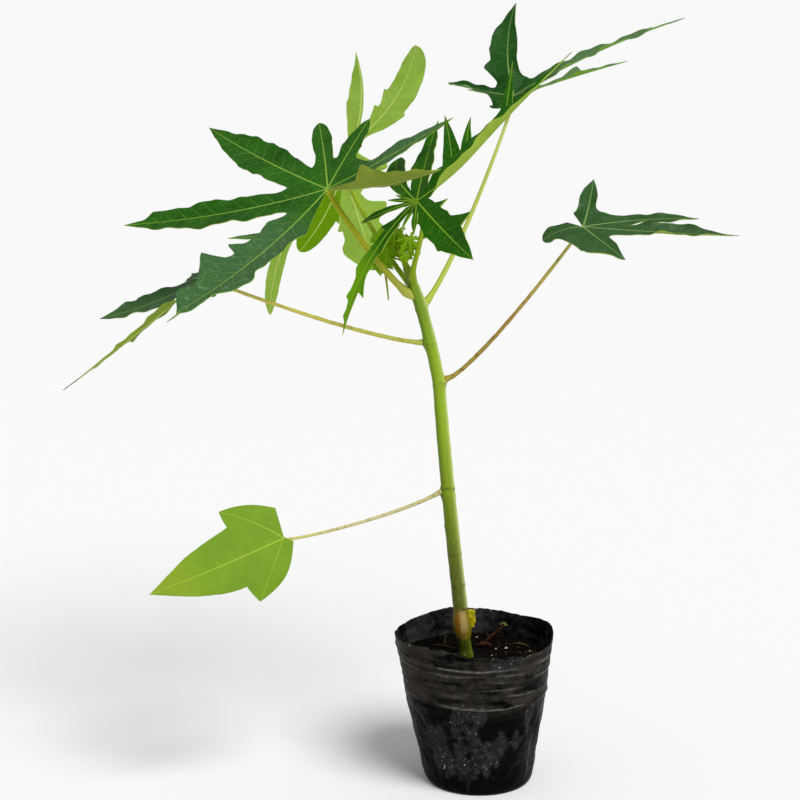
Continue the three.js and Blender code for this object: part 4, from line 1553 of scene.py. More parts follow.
@dataclass
class Leaf:
    """A lobed blade on its stalk.

    Attributes:
        name: the leaf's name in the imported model.
        hub: where the stalk meets the blade.
        lean: degrees by which the upper face leans.
        lean_to: bearing that it leans to.
        web: distance from the hub to the notches between lobes.
        lobes: its lobes, counter-clockwise.
        finish: its colours.
        petiole: its stalk.
        wave: height of the waves along the edges.
        shoulders: bearing and distance of the blade's corners on either side of the stalk.
        quilt: how far the blade swells between side veins.
        ragged: how uneven the margin is, as a share of the half breadth.
        vein_start: how far the midribs have thinned at the hub already, from 0 to 1.
    """

    name: str
    hub: tuple[float, float, float]
    lean: float
    lean_to: float
    web: float
    lobes: tuple[Lobe, ...]
    finish: LeafFinish
    petiole: Optional[Petiole] = None
    wave: float = 0.7
    shoulders: Optional[dict[Side, tuple[float, float]]] = None
    quilt: float = 0.1
    ragged: float = 0.08
    vein_start: float = 0.0
    thickness: float = 0.45
    root_depth: float = 8.0
    web_rows: int = 14
    row_step: float = 1.0
    columns: tuple = (0.0, 0.05, 0.12, 0.22, 0.35, 0.5, 0.66, 0.82, 0.93, 1.0)

    def turn(self) -> Array:
        """Matrix that leans the level blade."""
        axis = Vector((-math.sin(math.radians(self.lean_to)), math.cos(math.radians(self.lean_to)), 0))
        return np.array(Matrix.Rotation(math.radians(self.lean), 3, axis))

    def _thinned(self, shares: Array) -> Array:
        """How far a midrib has thinned at shares of its length, from 0 to 1."""
        return lerp(self.vein_start, 1.0, shares)

    def _ridge(self, shares: Array) -> Array:
        """How far a midrib stands out below at shares of its length."""
        return VEIN_RIDGE * (1 - self._thinned(shares)) ** 0.7

    def _web_share(self, lobe: Lobe) -> float:
        """Share of a lobe's length that the web takes."""
        return min(0.8, (self.web if lobe.web is None else lobe.web) / lobe.reach)

    def _notch(self, first: Lobe, second: Lobe) -> Array:
        """Notch between two lobes, which parts their angle in proportion to breadth.

        Args:
            first: the lobe on its right.
            second: the lobe on its left.

        Returns:
            Its place from the hub.
        """
        if first.notch is not None:
            return bearing_vector(first.notch[0]) * first.notch[1]
        shares = self._web_share(first), self._web_share(second)
        gap = (second.bearing - first.bearing + 360) % 360
        bearing = first.bearing + gap * first.breadth / (first.breadth + second.breadth)
        radius = (shares[0] * first.reach + shares[1] * second.reach) / 2
        heights = [lobe.midrib(np.array([share]))[0, 2] for lobe, share in zip((first, second), shares)]
        return bearing_vector(bearing) * radius + np.array([0, 0, sum(heights) / 2])

    def _basal(self, lobe: Lobe, side: Side) -> Array:
        """Corner of the blade beside the stalk.

        Args:
            lobe: the lobe next to it.
            side: the side of that lobe that it is on.

        Returns:
            Its place from the hub.
        """
        if self.shoulders is not None:
            bearing, distance = self.shoulders[side]
            return bearing_vector(bearing) * distance
        share = np.array([self._web_share(lobe)])
        half = min(0.4 * lobe.breadth, 0.3 * self.web)
        return lobe.midrib(share)[0] + lobe.frames(share)[1][0] * side.value * half

    def blade(self) -> Skin:
        """The blade, in the plant's frame."""
        sheet = Sheet()
        hub = int(sheet.add(np.zeros((1, 3)), np.full(1, VEIN_RIDGE))[0])
        pairs = list(zip(self.lobes[:-1], self.lobes[1:]))
        ends = [self._basal(self.lobes[0], Side.RIGHT)]
        ends += [self._notch(first, second) for first, second in pairs]
        ends.append(self._basal(self.lobes[-1], Side.LEFT))
        steps = np.arange(1, self.web_rows + 1) / self.web_rows
        lines = [steps[:, None] * end for end in ends]
        ids = [sheet.add(line, np.zeros(len(line))) for line in lines]
        for index, lobe in enumerate(self.lobes):
            edges = {Side.RIGHT: (lines[index], ids[index]), Side.LEFT: (lines[index + 1], ids[index + 1])}
            self._lobe(sheet, hub, lobe, edges, index)
        skins = [sheet.thickened(self.thickness)]
        skins += [self._horn(lobe, horn) for lobe in self.lobes for horn in lobe.horns]
        skin = Skin.joined(skins)
        skin.points = skin.points @ self.turn().T + np.array(self.hub)
        return skin

    def _horn(self, lobe: Lobe, horn: Horn) -> Skin:
        """A side lobe as a small blade of its own, laid on the folded half of its lobe.

        Args:
            lobe: the lobe that carries it.
            horn: the side lobe.

        Returns:
            Its skin, in the level leaf's frame.
        """
        share = np.array([horn.share])
        web_share = self._web_share(lobe)
        fold = lobe.folded((share - web_share) / (1 - web_share))[0] * horn.side.value
        along, left, up = (axis[0] for axis in lobe.frames(share))
        level = left * math.cos(fold) + up * math.sin(fold)
        axes = np.stack([along, level, np.cross(along, level)])
        web = HORN_FOOT * horn.lobe.reach
        half = horn.lobe.breadth / 2 * float(horn.lobe.lance(np.zeros(1))[0])
        spread = math.degrees(math.atan2(half, web))
        corner = math.hypot(half, web)
        shoulders = {side: (horn.lobe.bearing + side.value * spread, corner) for side in Side}
        small = replace(
            self, hub=(0, 0, 0), lean=0, web=web, lobes=(horn.lobe,), shoulders=shoulders,
            web_rows=4, row_step=0.6, vein_start=0.75,
        )
        skin = small.blade()
        sunk = 0.35 + 0.08 * lobe.breadth * abs(math.sin(fold))
        skin.points = (skin.points - [0, 0, sunk]) @ axes + lobe.midrib(share)[0]
        return skin

    def _lobe(self, sheet: Sheet, hub: int, lobe: Lobe, edges: dict, index: int) -> None:
        """Adds one lobe to the sheet.

        Args:
            sheet: the sheet in the making.
            hub: number of the hub's point.
            lobe: the lobe.
            edges: for each side, the line from the hub to the notch and its points' numbers.
            index: the lobe's number, which sets its waves.
        """
        web_share = self._web_share(lobe)
        web_steps = np.arange(1, self.web_rows + 1) / self.web_rows
        count = max(16, int(lobe.reach * (1 - web_share) / self.row_step))
        steps = (np.arange(1, count + 1) / count) ** 1.15
        whole = np.concatenate([web_steps * web_share, web_share + (1 - web_share) * steps])
        middle = lobe.midrib(whole)
        along, left, up = lobe.frames(whole)
        far = whole * lobe.reach
        web = self.web_rows
        rib_ids = sheet.add(middle, self._ridge(whole))
        columns = np.array(self.columns)
        spacing = float(np.clip(lobe.breadth / 2.6, 2.4, 8.0))
        for side in Side:
            line, line_ids = edges[side]
            outward, forward = lobe.spurs(side, steps)
            lane = np.full(count, 31.0 * index + 7.0 * side.value)
            margin = np.stack([far[web:], lane, 0 * steps], axis=-1)
            uneven = 1 + self.ragged * (ripple(margin, 7.0, 51) + 0.5 * ripple(margin, 2.6, 52))
            half = lobe.breadth / 2 * (1 + lobe.skew * side.value) * lobe.lance(steps) * uneven + outward
            opened = np.sqrt(1 - (1 - np.clip(steps / EDGE_START, 0, 1)) ** 2)
            fold = lobe.folded(steps)
            if lobe.bulge is not None:
                border = lobe.straight_edge(side, line[-1], steps)
            else:
                plain = middle[web:] + left[web:] * (side.value * half * np.cos(fold))[:, None]
                plain = plain + up[web:] * (half * np.sin(fold))[:, None] + along[web:] * forward[:, None]
                border = lerp(line[-1], plain, opened[:, None])
            edge = np.concatenate([line, border])
            curl = np.concatenate([np.zeros(web), half * np.sin(fold) * opened])
            gap = np.linalg.norm(edge - middle, axis=1)[:, None] * columns
            phase = (far[:, None] - VEIN_SLANT * gap) / spacing + 0.25 * side.value
            grid = middle[:, None] + (edge - middle)[:, None] * columns[None, :, None]
            lift = curl[:, None] * (columns**1.5 - columns)
            quilt = self.quilt * np.cos(math.tau * phase) * columns * (1 - columns) * 4
            quilt = quilt * np.clip(gap[:, -1:] / 9, 0, 1)
            swell = np.concatenate([np.zeros(web), np.clip(steps / 0.15, 0, 1)])[:, None] * columns**3
            waves = np.sin(far[:, None] / 4.2 + 2.4 * index + side.value)
            waves = waves + 0.6 * np.sin(far[:, None] / 1.9 + index * side.value)
            lift = lift + quilt + self.wave * swell * waves * np.clip(gap[:, -1:] / 6, 0.15, 1)
            grid = grid + up[:, None] * lift[..., None]
            # Share of the second colour: partly the lobe's own tone, partly painted sheen and painted light
            tone = lobe.tone * ease(whole, lobe.tone_and_light_start, lobe.tone_and_light_start + 0.3)
            self._half(sheet, hub, side, grid, rib_ids, line_ids, phase, gap, whole, far, tone)

    def _half(self, sheet: Sheet, hub: int, side: Side, grid: Array, rib_ids: Array, line_ids: Array,
              phase: Array, gap: Array, whole: Array, far: Array, tone: Array) -> None:
        """Adds the faces of one half of a lobe.

        Args:
            sheet: the sheet in the making.
            hub: number of the hub's point.
            side: which half.
            grid: points by row and by column.
            rib_ids: numbers of the midrib's points.
            line_ids: numbers of the points on the line from the hub to the notch.
            phase: side vein phase of each point.
            gap: distance from the midrib.
            whole: share along the midrib, by row.
            far: distance from the hub, by row.
            tone: share of the leaf's second colour, its own tone and painted light, by row.
        """
        rows, columns = grid.shape[:2]
        ids = np.full((rows + 1, columns), -1)
        ids[0] = hub
        ids[1:, 0] = rib_ids
        ids[1:len(line_ids) + 1, -1] = line_ids
        ids[-1] = rib_ids[-1]
        new = ids[1:] < 0
        thinned = np.broadcast_to(self._thinned(whole)[:, None], gap.shape)
        ridge = self._ridge(whole)[:, None] * hump(gap, 0.55)
        ids[1:][new] = sheet.add(grid[new], ridge[new])
        base = np.array(self.columns)
        vein = np.stack([phase, gap, thinned], axis=-1)
        spread = [np.broadcast_to(values, gap.shape) for values in (base, far[:, None], tone[:, None])]
        blade = np.stack(spread, axis=-1)
        vein = np.concatenate([vein[:1] * [1, 0, 0], vein])
        blade = np.concatenate([blade[:1] * [1, 0, 1], blade])
        corners = ((0, 0), (1, 0), (1, 1), (0, 1))
        if side is Side.RIGHT:
            corners = ((0, 0), (0, 1), (1, 1), (1, 0))

        def picked(table: Array) -> Array:
            """Table values at the four corners of each face."""
            parts = [table[r:rows + r, c:columns - 1 + c] for r, c in corners]
            return np.stack(parts, axis=2).reshape(-1, 4, *table.shape[2:])

        quads = picked(ids)
        real = np.array([len(set(quad)) > 2 for quad in quads.tolist()])
        sheet.quads.append(quads[real])
        sheet.vein.append(picked(vein)[real])
        sheet.blade.append(picked(blade)[real])

    def stalk(self, stem: Stem) -> Skin:
        """The leaf's stalk, from inside the stem's bark to the underside of the hub.

        Args:
            stem: the stem that carries it.

        Returns:
            Its skin.
        """
        part = self.petiole
        along = stem.along(part.height)
        away = bearing_vector(part.bearing)
        away = away - along * (away @ along)
        away /= np.linalg.norm(away)
        climb = math.radians(part.climb)
        heading = away * math.cos(climb) + along * math.sin(climb)
        bark = float(stem.radius(np.array([part.height]))[0])
        start = stem.middle(part.height) + away * (bark + FOOT_GAP + part.base * abs(math.sin(climb)))
        under = self.turn() @ np.array([0, 0, -1.0])
        end = np.array(self.hub) + under * (self.thickness / 2)
        shares = np.linspace(0, 1, 90)
        path = bezier((start, start + heading * part.out, end + under * part.inward, end), shares)
        root = stem.middle(part.height - self.root_depth * max(0.15, math.sin(climb))) + away * 0.2 * bark
        inner = bezier((root, root + along * 3.0, start - heading * 3.0, start), np.linspace(0, 1, 14))
        path = np.concatenate([inner[:-1], path])
        length = np.concatenate([[0], np.cumsum(np.linalg.norm(np.diff(path, axis=0), axis=1))])
        joint = length[len(inner) - 1]
        share = length / length[-1]
        sides = 20
        turns = full_turn(sides)
        radius = part.end + (part.base - part.end) * (1 - share) ** 1.5
        radius = radius + part.base * 0.4 * hump(length - joint, 4.0)
        radius = radius + part.end * 0.35 * hump(length - length[-1], 2.2)
        places = round_places(np.broadcast_to(turns, (len(length), sides)), 2.0, length[:, None])
        seed = 110 + int(part.height)
        rough = 1 + 0.05 * ripple(places, 2.2, seed)
        rough = rough + part.knobs * ripple(places * [0.6, 0.6, 1], 3.6, seed + 1)
        groove = 1 - 0.1 * ease(np.cos(turns), 0.75, 1.0)
        line = np.stack([length, 0 * length, 0 * length], axis=-1)
        wobble = ripple(line, 11.0, seed + 2) * part.knobs * 2.4
        wobble = wobble * ease(share, 0.05, 0.2) * (1 - ease(share, 0.8, 0.95))
        path = path + (away * 0.4 + along * 0.6) * wobble[:, None]
        return tube(path, radius[:, None] * rough * groove[None, :], sides, share)

    def dress(self, stem: Stem) -> None:
        """Builds the blade and its stalk.

        Args:
            stem: the stem that carries them.
        """
        blade = f"leaf_{self.name}"
        finishes = [self.finish.upper(f"{blade}_upper"), self.finish.lower(f"{blade}_under")]
        seat(self.blade().build(f"{blade}_blade", finishes), blade, blade)
        stalk = f"petiole_{self.name}"
        seat(self.stalk(stem).build(f"{stalk}_stalk", [self.petiole.finish.make(stalk)]), stalk, stalk)


@dataclass(frozen=True)
class Sprout:
    """One young leaf.

    Attributes:
        hub: where its stalk meets it.
        place: share of the axis where its stalk starts.
        reach: length of its middle lobe.
        breadth: breadth of its lobes as a share of their reach.
        droop: how far its lobes droop.
        lean: degrees by which it leans.
        lean_to: bearing that it leans to.
    """

    hub: tuple[float, float, float]
    place: float
    reach: float
    breadth: float
    droop: float
    lean: float
    lean_to: float


@dataclass
class ShootTip:
    """Young leaves round the growing point, with one thin hanging leaf end."""

    axis_radius: float = 2.0
    axis_end: float = 0.8
    axis_length: float = 11.0
    axis_sunk: float = 0.8
    sprouts: tuple[Sprout, ...] = (
        Sprout((-51.5, 8.0, 311.0), 0.35, 17.0, 0.4, 30, 66, 248),
        Sprout((-56.0, 9.0, 303.0), 0.15, 14.0, 0.42, 34, 76, 236),
        Sprout((-47.5, 9.0, 315.0), 0.7, 12.0, 0.4, 36, 44, 200),
        Sprout((-40.5, -2.0, 312.5), 0.75, 10.5, 0.28, 24, 60, 300),
        Sprout((-41.6, -4.0, 304.5), 0.5, 5.5, 0.5, 20, 72, 268),
        Sprout((-45.0, 14.0, 309.0), 0.6, 13.0, 0.4, 34, 64, 80),
        Sprout((-38.0, 7.0, 309.0), 0.4, 10.0, 0.36, 30, 58, 20),
    )
    petiole_radius: float = 0.62
    lobe_bearings: tuple = (-125.0, -84.0, -42.0, 0.0, 42.0, 84.0, 125.0)
    lobe_shares: tuple = (0.55, 0.75, 0.95, 1.0, 0.9, 0.75, 0.55)
    tail: tuple = ((-54.0, 8.0, 303.0), (-54.0, 6.0, 296.0), (-52.4, 5.0, 288.0), (-51.4, 5.0, 277.0))
    tail_radius: float = 1.0

    def dress(self, stem: Stem, finish: LeafFinish, stalks: StalkFinish) -> None:
        """Builds the tuft.

        Args:
            stem: the stem that carries it.
            finish: colours of the young leaves.
            stalks: colours of their stalks.
        """
        top = stem.upper[3][2]
        along = stem.along(top - 0.5)
        foot = stem.middle(top) - along * self.axis_sunk
        end = foot + along * (self.axis_length + self.axis_sunk)
        shares = np.linspace(0, 1, 14)
        axis = lerp(foot, end, shares[:, None])
        limbs = [tube(axis, lerp(self.axis_radius, self.axis_end, shares), 16, shares)]
        steps = np.linspace(0, 1, 20)
        limbs.append(tube(bezier(self.tail, steps), self.tail_radius * (1 - 0.6 * steps), 10, steps))
        blades = []
        for index, sprout in enumerate(self.sprouts):
            root = lerp(foot, end, sprout.place)
            hub = np.array(sprout.hub)
            length = float(np.linalg.norm(hub - root))
            low = root + along * 0.4 * length
            high = hub - np.array([0, 0, 0.3 * length])
            radii = np.full(len(steps), self.petiole_radius * (0.5 + 0.03 * sprout.reach))
            limbs.append(tube(bezier((root, low, high, hub), steps), radii, 10, steps))
            blades.append(self._blade(index, sprout, finish))
        faces = [finish.upper("young_leaf_upper"), finish.lower("young_leaf_under")]
        seat(Skin.joined(blades).build("shoot_tip_leaves", faces), "young_leaf", "shoot_tip")
        finishes = [stalks.make("shoot_tip_stalks")]
        seat(Skin.joined(limbs).build("shoot_tip_stalks", finishes), "young_leaf", "shoot_tip")

    def _blade(self, index: int, sprout: Sprout, finish: LeafFinish) -> Skin:
        """One young blade: drooping fingers with small teeth.

        Args:
            index: its number.
            sprout: its place and shape.
            finish: its colours.

        Returns:
            Its skin.
        """
        lobes = []
        for turn, share in zip(self.lobe_bearings, self.lobe_shares):
            reach = sprout.reach * share
            teeth = (Tooth(0.3, L, 0.16 * reach), Tooth(0.5, R, 0.16 * reach), Tooth(0.68, L, 0.1 * reach))
            breadth = sprout.breadth * reach
            bearing = sprout.lean_to + turn
            lobes.append(Lobe(bearing, reach, breadth, droop=sprout.droop, fold=22, teeth=teeth))
        young = Leaf(
            f"young_{index}", sprout.hub, sprout.lean, sprout.lean_to, 0.3 * sprout.reach,
            tuple(lobes), finish, wave=0.3, thickness=0.3, web_rows=5, row_step=0.5,
            columns=(0.0, 0.12, 0.35, 0.65, 1.0),
        )
        return young.blade()


# Colours and leaves of this plant


POT = Pot()
L, R = Side.LEFT, Side.RIGHT

# The second colours are partly the lobes' own tones and partly painted light: a grey sheen on
# left_large, a lighter hanging lobe on centre and a backlit glow under back.
DARK_LEAF = LeafFinish(
    deep=shade(16, 68, 6), bright=shade(38, 98, 12), vein=shade(140, 176, 66), under=shade(124, 142, 48),
    under_bright=shade(140, 158, 64), under_vein=shade(170, 182, 96), under_side_vein=shade(146, 162, 74),
    toned_and_lit=shade(62, 98, 60), flecks=0.02, sheen=0.1,
)
GREY_LEAF = replace(
    DARK_LEAF, deep=shade(28, 70, 22), bright=shade(50, 88, 42), vein=shade(124, 156, 84), side_veins=0.2,
    flecks=0.25, sheen=0.18, roughness=0.42,
)
BLUE_LEAF = replace(
    GREY_LEAF, deep=shade(18, 64, 14), bright=shade(34, 82, 26), flecks=0.12, sheen=0.08,
    under=shade(100, 138, 74), under_bright=shade(130, 162, 102), under_side_vein=shade(138, 166, 104),
    toned_and_lit=shade(98, 134, 84),
)
FADED_LEAF = replace(
    GREY_LEAF, deep=shade(38, 78, 34), bright=shade(58, 96, 52), under=shade(104, 130, 36),
    under_bright=shade(126, 150, 56), dry_from=0.88, flecks=0.1,
)
VIVID_LEAF = replace(
    DARK_LEAF, deep=shade(18, 74, 0), bright=shade(34, 100, 2), vein=shade(140, 178, 44), side_veins=0.28,
    under=shade(138, 168, 48), under_bright=shade(158, 184, 74), under_vein=shade(180, 196, 90),
    toned_and_lit=shade(104, 160, 4), under_toned_and_lit=shade(100, 148, 8), flecks=0.0,
)
PALE_LEAF = replace(
    DARK_LEAF, deep=shade(98, 136, 16), bright=shade(114, 150, 28), vein=shade(158, 182, 56),
    under=shade(124, 152, 46), under_bright=shade(140, 164, 60), toned_and_lit=shade(130, 154, 28),
    side_veins=0.25, roughness=0.5, flecks=0.0,
)
BACKLIT_LEAF = replace(
    DARK_LEAF, under=shade(148, 186, 64), under_bright=shade(162, 197, 84), under_vein=shade(204, 224, 124),
    under_side_vein=shade(130, 168, 54), under_toned_and_lit=shade(106, 154, 0),
)
YOUNG_LEAF = LeafFinish(
    deep=shade(94, 148, 0), bright=shade(136, 184, 6), vein=shade(164, 196, 48), under=shade(124, 170, 2),
    under_bright=shade(152, 188, 26), under_vein=shade(170, 198, 56), under_side_vein=shade(142, 180, 34),
    sheen=0.08,
)
OLIVE_STALK = StalkFinish(shade(178, 184, 84), shade(160, 164, 14), shade(162, 168, 6))
GREEN_STALK = StalkFinish(shade(128, 158, 16), shade(140, 164, 20), shade(150, 172, 36))
YELLOW_STALK = StalkFinish(shade(162, 182, 60), shade(186, 194, 92), shade(196, 202, 110))
BROWN_STALK = StalkFinish(
    shade(160, 146, 60), shade(156, 122, 62), shade(202, 202, 98), shade(112, 66, 34), 0.7,
)
SPECKED_STALK = StalkFinish(
    shade(186, 194, 86), shade(200, 190, 90), shade(206, 194, 98), shade(140, 112, 44), 0.6,
)
CREAM_STALK = StalkFinish(
    shade(186, 178, 120), shade(198, 190, 138), shade(196, 192, 104), shade(140, 104, 80), 0.6,
)

LEAVES = (
    Leaf(
        "lower_left", (-109, -20, 148.4), 55, 280, 27,
        (
            Lobe(154, 39, 13, sweep=20, bulge=(0.03, 0.09), notch=(176, 32)),
            Lobe(
                213, 81, 33, sweep=-5, web=34, widest=0.05, fold=4, notch=(240, 35),
                tone=0.7, tone_and_light_start=0.5,
            ),
            Lobe(257, 39, 12, sweep=-2, bulge=(0.14, 0.03)),
        ),
        PALE_LEAF, Petiole(170, 195, -22, 1.15, 0.8, 26, 12, CREAM_STALK),
        wave=0.25, shoulders={R: (111, 18), L: (347, 5.5)}, ragged=0.02,
    ),
    Leaf(
        "right", (53.7, -5, 318.9), 22, 272, 15,
        (
            Lobe(187, 23.5, 12, rise=5, droop=44, sweep=7, point=0.6, start=0.8, notch=(236, 18)),
            Lobe(
                302, 35, 20, droop=11, sweep=10, widest=0.2, skew=-0.5, notch=(331, 17),
                teeth=(Tooth(0.35, R, 4.5, 0.35, 0.5, 0, True),),
            ),
            Lobe(352, 84, 13, droop=-2, sweep=3, fold=28, widest=0.5, point=1.8, web=22),
            Lobe(19, 67, 10, droop=6, sweep=-10, web=22),
            Lobe(75, 41, 10, rise=10, sweep=7, skew=0.2),
        ),
        GREY_LEAF, Petiole(233, 350, 4, 1.3, 0.9, 17, 0.3, BROWN_STALK, 0.14), wave=0.9,
        shoulders={R: (152, 9.5), L: (107, 15)},
    ),
    Leaf(
        "upper_right", (17.9, 40, 385), 12, 205, 14,
        (
            Lobe(172, 26, 6, rise=18, droop=2), Lobe(228, 15, 14, droop=24, point=0.5),
            Lobe(
                338, 69, 11, rise=12, droop=4, fold=16, point=1.5, tone=0.9, tone_and_light_start=0.1,
                teeth=(Tooth(0.4, L, 3),),
            ),
            Lobe(
                18, 105, 11, rise=17, droop=10, sweep=-18, fold=14, tone=0.6, tone_and_light_start=0.1,
                teeth=(Tooth(0.2, L, 5, 0.2, 0.25, 0, True), Tooth(0.72, R, 9, 0.1, 0.05)),
            ),
            Lobe(
                96, 63, 16, rise=48, droop=8, sweep=-41, skew=0.25,
                teeth=(Tooth(0.12, L, 7, 0.12, 0.12, 0.2),),
            ),
            Lobe(140, 46, 10, rise=9, droop=-4, point=0.8, fold=20),
        ),
        BLUE_LEAF, Petiole(275.5, 30, 28, 1.6, 0.9, 30, 4, YELLOW_STALK), wave=1.0,
    ),
    Leaf(
        "left_large", (-84.4, 5, 338.1), 32, 245, 27,
        (
            Lobe(
                319, 75, 20, rise=14, droop=-1, sweep=32, roll=-65, fold=26, fold_start=0.06, widest=0.15,
                teeth=(Tooth(0.13, R, 7, 0.14, 0.1, 0, True),),
            ),
            Lobe(18, 79, 10, rise=4, droop=-8, fold=18, start=0.2, tone=0.9, tone_and_light_start=0.2),
            Lobe(67, 62, 11, sweep=-4, point=0.85, fold=6),
            Lobe(90, 63, 11, sweep=5, point=0.6, fold=6, notch=(110, 23.5)),
            Lobe(134, 107, 25, sweep=-10, fold=6, notch=(158, 24)),
            Lobe(187, 113, 23, droop=-8, sweep=-11, skew=0.1, widest=0.5, teeth=(Tooth(0.8, R, 2),)),
            Lobe(
                235, 121, 24, droop=-8, sweep=-15, widest=0.5, point=0.8, tone=0.8, tone_and_light_start=0.12,
                teeth=(
                    Tooth(0.1, L, 5), Tooth(0.28, L, 2, 0.06, 0.03), Tooth(0.58, L, 5, 0.07, 0.22, 0, True),
                    Tooth(0.12, R, 6, 0.12, 0.14, 0, True),
                    Tooth(0.82, L, -4, 0.1, 0.12, 0, True), Tooth(0.4, R, 9.5, 0.05, 0.03, 0.1),
                    Tooth(0.56, R, 17, 0.06, 0.22, 0), Tooth(0.88, R, 8, 0.13, 0.12, 0, True),
                ),
                horns=(
                    Horn(0.33, R, Lobe(-52, 31, 4, sweep=-6, widest=0.55, tone=0.8)),
                    Horn(0.95, L, Lobe(6, 14, 1.0, tone=1.0)),
                ),
            ),
        ),
        DARK_LEAF, Petiole(284, 195, 56, 2.1, 1.5, 14, 10, OLIVE_STALK), wave=0.7,
    ),
    Leaf(
        "back", (-78.1, 90, 338.6), 68, 95, 18,
        (
            Lobe(298, 76, 9.5, sweep=-37, widest=0.42, start=0.1, skew=-0.65),
            Lobe(
                336, 90, 16.5, droop=4, sweep=-55, bend=-42, widest=0.5, start=0.03, point=0.55,
                skew=0.3, notch=(318, 13),
                teeth=(
                    Tooth(0.33, R, 3, 0.1, 0.03), Tooth(0.5, R, 2.5, 0.1, 0.03),
                    Tooth(0.1, L, -4, 0.15, 0.2, 0, True), Tooth(0.38, L, 2, 0.12, 0.04),
                ),
            ),
            Lobe(3, 26, 6, point=0.7, notch=(63, 20)),
            Lobe(
                80, 73, 24, sweep=-4, point=0.6, widest=0.6, start=0.8, web=30, notch=(98, 37.5),
                teeth=(
                    Tooth(0.2, L, 4), Tooth(0.6, L, 5, 0.2, 0.25, 0, True),
                    Tooth(0.14, R, 11, 0.14, 0.14, -0.4, True), Tooth(0.45, R, 3),
                ),
            ),
            Lobe(106, 62, 16, sweep=26, point=0.6, widest=0.4, start=0.86, web=30, tone=1.0),
            Lobe(137, 121, 9, rise=13, droop=13, sweep=-42, widest=0.72, start=0.3, point=0.7),
        ),
        BACKLIT_LEAF, Petiole(287, 120, 20, 1.6, 1.2, 10, 24, GREEN_STALK), wave=0.6,
    ),
    Leaf(
        "centre", (-36, -15, 334.5), 50, 215, 8,
        (
            Lobe(
                185, 87, 6.5, rise=-2, droop=32, sweep=17, roll=-24, widest=0.5, start=0.3,
                tone=0.9, tone_and_light_start=0.3,
                teeth=(
                    Tooth(0.16, R, 5, 0.05, 0.04, 0.9), Tooth(0.3, L, 2.5), Tooth(0.5, R, 3),
                    Tooth(0.62, L, 7, 0.1, 0.04), Tooth(0.72, R, 2, 0.05, 0.03),
                    Tooth(0.86, R, 1.5, 0.05, 0.04),
                ),
            ),
            Lobe(223, 19, 3.0), Lobe(252, 25, 4.0),
            Lobe(
                283, 69, 18, droop=10, sweep=4, widest=0.55, notch=(329, 8),
                teeth=(
                    Tooth(0.17, L, 8, 0.06, 0.07, 0.5), Tooth(0.57, L, 11, 0.14, 0.06, 0.35),
                    Tooth(0.38, R, 3, 0.1, 0.03), Tooth(0.12, R, 2.5, 0.05, 0.04),
                    Tooth(0.62, R, 1.5, 0.1, 0.03),
                ),
            ),
            Lobe(
                35, 115, 15, rise=-8, droop=-10, sweep=-28, bend=-33, roll=-14, fold=54,
                fold_start=0.1, fold_end=0.5, widest=0.12, point=1.2, notch=(30, 11.5),
                teeth=(Tooth(0.45, R, 3, 0.1, 0.1, 0, True), Tooth(0.8, R, 3)),
                horns=(
                    Horn(0.21, L, Lobe(52, 33, 11, sweep=10, widest=0.0, point=1.15, fold=4)),
                    Horn(0.3, L, Lobe(50, 25, 7, sweep=-20, widest=0.0, fold=4)),
                    Horn(0.55, L, Lobe(34, 34, 6, sweep=4, widest=0.1, fold=4)),
                ),
            ),
            Lobe(75, 70, 15, rise=-8, sweep=-8, notch=(96, 12)),
            Lobe(
                117, 52, 13, droop=8, sweep=-38, bend=-8, point=0.5, widest=0.6, start=0.05, notch=(118, 9),
                teeth=(Tooth(0.25, R, -2.5, 0.25, 0.25, 0, True),),
            ),
            Lobe(123, 21, 1.8), Lobe(132, 25, 2.4),
            Lobe(147, 42, 5, droop=5, sweep=10, point=0.7, widest=0.6, start=0.2),
        ),
        VIVID_LEAF, Petiole(291, 290, 52, 1.6, 1.2, 9, 14, GREEN_STALK), wave=0.6,
    ),
    Leaf(
        "far_left", (-155.2, 30, 284.8), 28, 240, 13,
        (
            Lobe(25, 38, 12, droop=10), Lobe(65, 24, 10, droop=20), Lobe(108, 17, 8, droop=40),
            Lobe(155, 15, 7, droop=40), Lobe(207, 62, 17, rise=-5, droop=-12, sweep=-19, widest=0.5),
            Lobe(
                222.5, 106, 9, rise=-5, droop=-6, roll=70, fold=16, widest=0.08, point=1.8,
                teeth=(
                    Tooth(0.3, L, 1.5, 0.1, 0.05), Tooth(0.44, R, 3, 0.08, 0.03),
                    Tooth(0.62, R, 1.6, 0.06, 0.04), Tooth(0.74, R, 1.6, 0.05, 0.03),
                    Tooth(0.56, L, 1.4, 0.06, 0.04),
                ),
            ),
            Lobe(290, 18, 10, droop=20),
        ),
        FADED_LEAF, Petiole(255, 172, 12, 1.3, 0.95, 29, 0.5, SPECKED_STALK, 0.12), wave=0.9, ragged=0.15,
    ),
)


# Stage


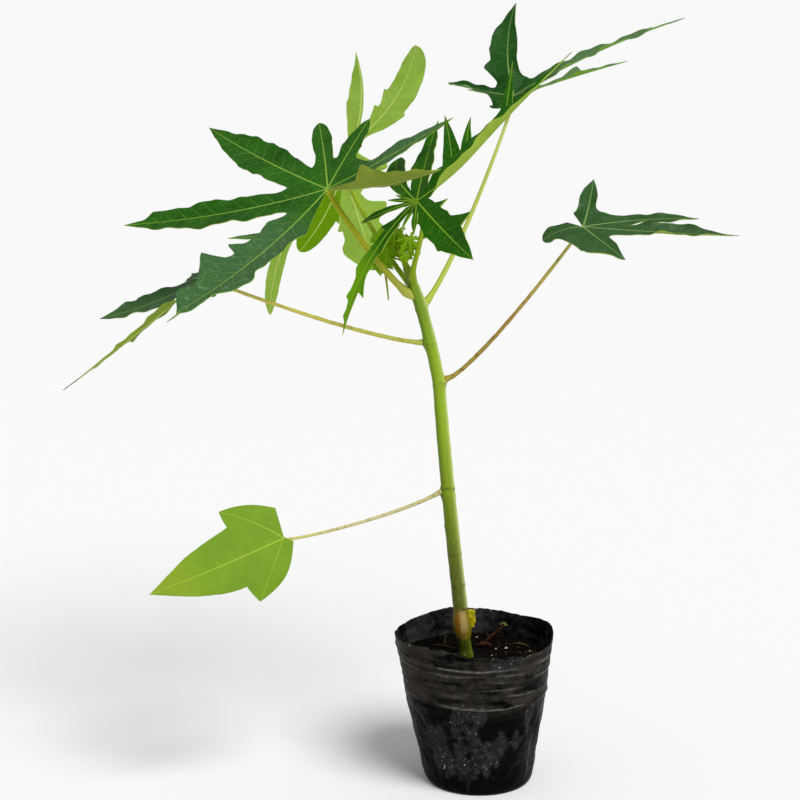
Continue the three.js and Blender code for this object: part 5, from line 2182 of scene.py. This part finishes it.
@dataclass
class Studio:
    """Pale floor, soft lights and the camera."""

    camera_place: tuple = (-0.0451, -1.194, 0.504)
    camera_pitch: float = 13.3
    lens: float = 100.0
    sensor: float = 36.0
    floor_half: float = 30.0
    floor_colour: Colour = shade(246, 246, 246)
    key_from: tuple = (0.45, -0.62, 1.0)
    key_strength: float = 2.5
    key_spread: float = 30.0
    sky_strength: float = 0.42

    def dress(self) -> None:
        """Sets the stage."""
        self._floor()
        self._key_light()
        self._world()
        self._camera()

    def _floor(self) -> None:
        """A plain pale floor."""
        half = self.floor_half / MM
        points = np.array([[-half, -half, 0], [half, -half, 0], [half, half, 0], [-half, half, 0]], float)
        tree = FinishTree("floor", {"Base Color": self.floor_colour, "Roughness": 0.8, SHEEN: 0.1})
        floor = Skin(points, [(0, 1, 2, 3)], np.zeros(1, int)).build("floor", [tree.material])

    def _key_light(self) -> None:
        """A broad soft light from the upper right, the same all over the floor."""
        data = bpy.data.lights.new("key_light", "SUN")
        data.energy = self.key_strength
        data.angle = math.radians(self.key_spread)
        lamp = bpy.data.objects.new("key_light", data)
        lamp.rotation_euler = Vector([-part for part in self.key_from]).to_track_quat("-Z", "Y").to_euler()
        bpy.context.scene.collection.objects.link(lamp)

    def _world(self) -> None:
        """Even white surroundings and plain colours."""
        world = bpy.data.worlds.new("studio")
        world.use_nodes = True
        ground = next(node for node in world.node_tree.nodes if node.type == "BACKGROUND")
        ground.inputs["Color"].default_value = (1.0, 1.0, 1.0, 1.0)
        ground.inputs["Strength"].default_value = self.sky_strength
        bpy.context.scene.world = world
        bpy.context.scene.view_settings.view_transform = "Standard"

    def _camera(self) -> None:
        """The photograph's viewpoint."""
        data = bpy.data.cameras.new("camera")
        data.lens = self.lens
        data.sensor_width = self.sensor
        camera = bpy.data.objects.new("camera", data)
        camera.location = self.camera_place
        camera.rotation_euler = (math.radians(90 - self.camera_pitch), 0, 0)
        bpy.context.scene.collection.objects.link(camera)
        bpy.context.scene.camera = camera


def main() -> None:
    """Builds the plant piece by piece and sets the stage."""
    logging.basicConfig(level=logging.INFO, format="%(name)s %(message)s")
    stem = Stem()
    Studio().dress()
    POT.dress()
    SoilBed().dress()
    stem.dress([(leaf.petiole.height, leaf.petiole.bearing) for leaf in LEAVES])
    GraftTape().dress(stem)
    for leaf in LEAVES:
        leaf.dress(stem)
    ShootTip().dress(stem, YOUNG_LEAF, GREEN_STALK)


if __name__ == "__main__":
    main()
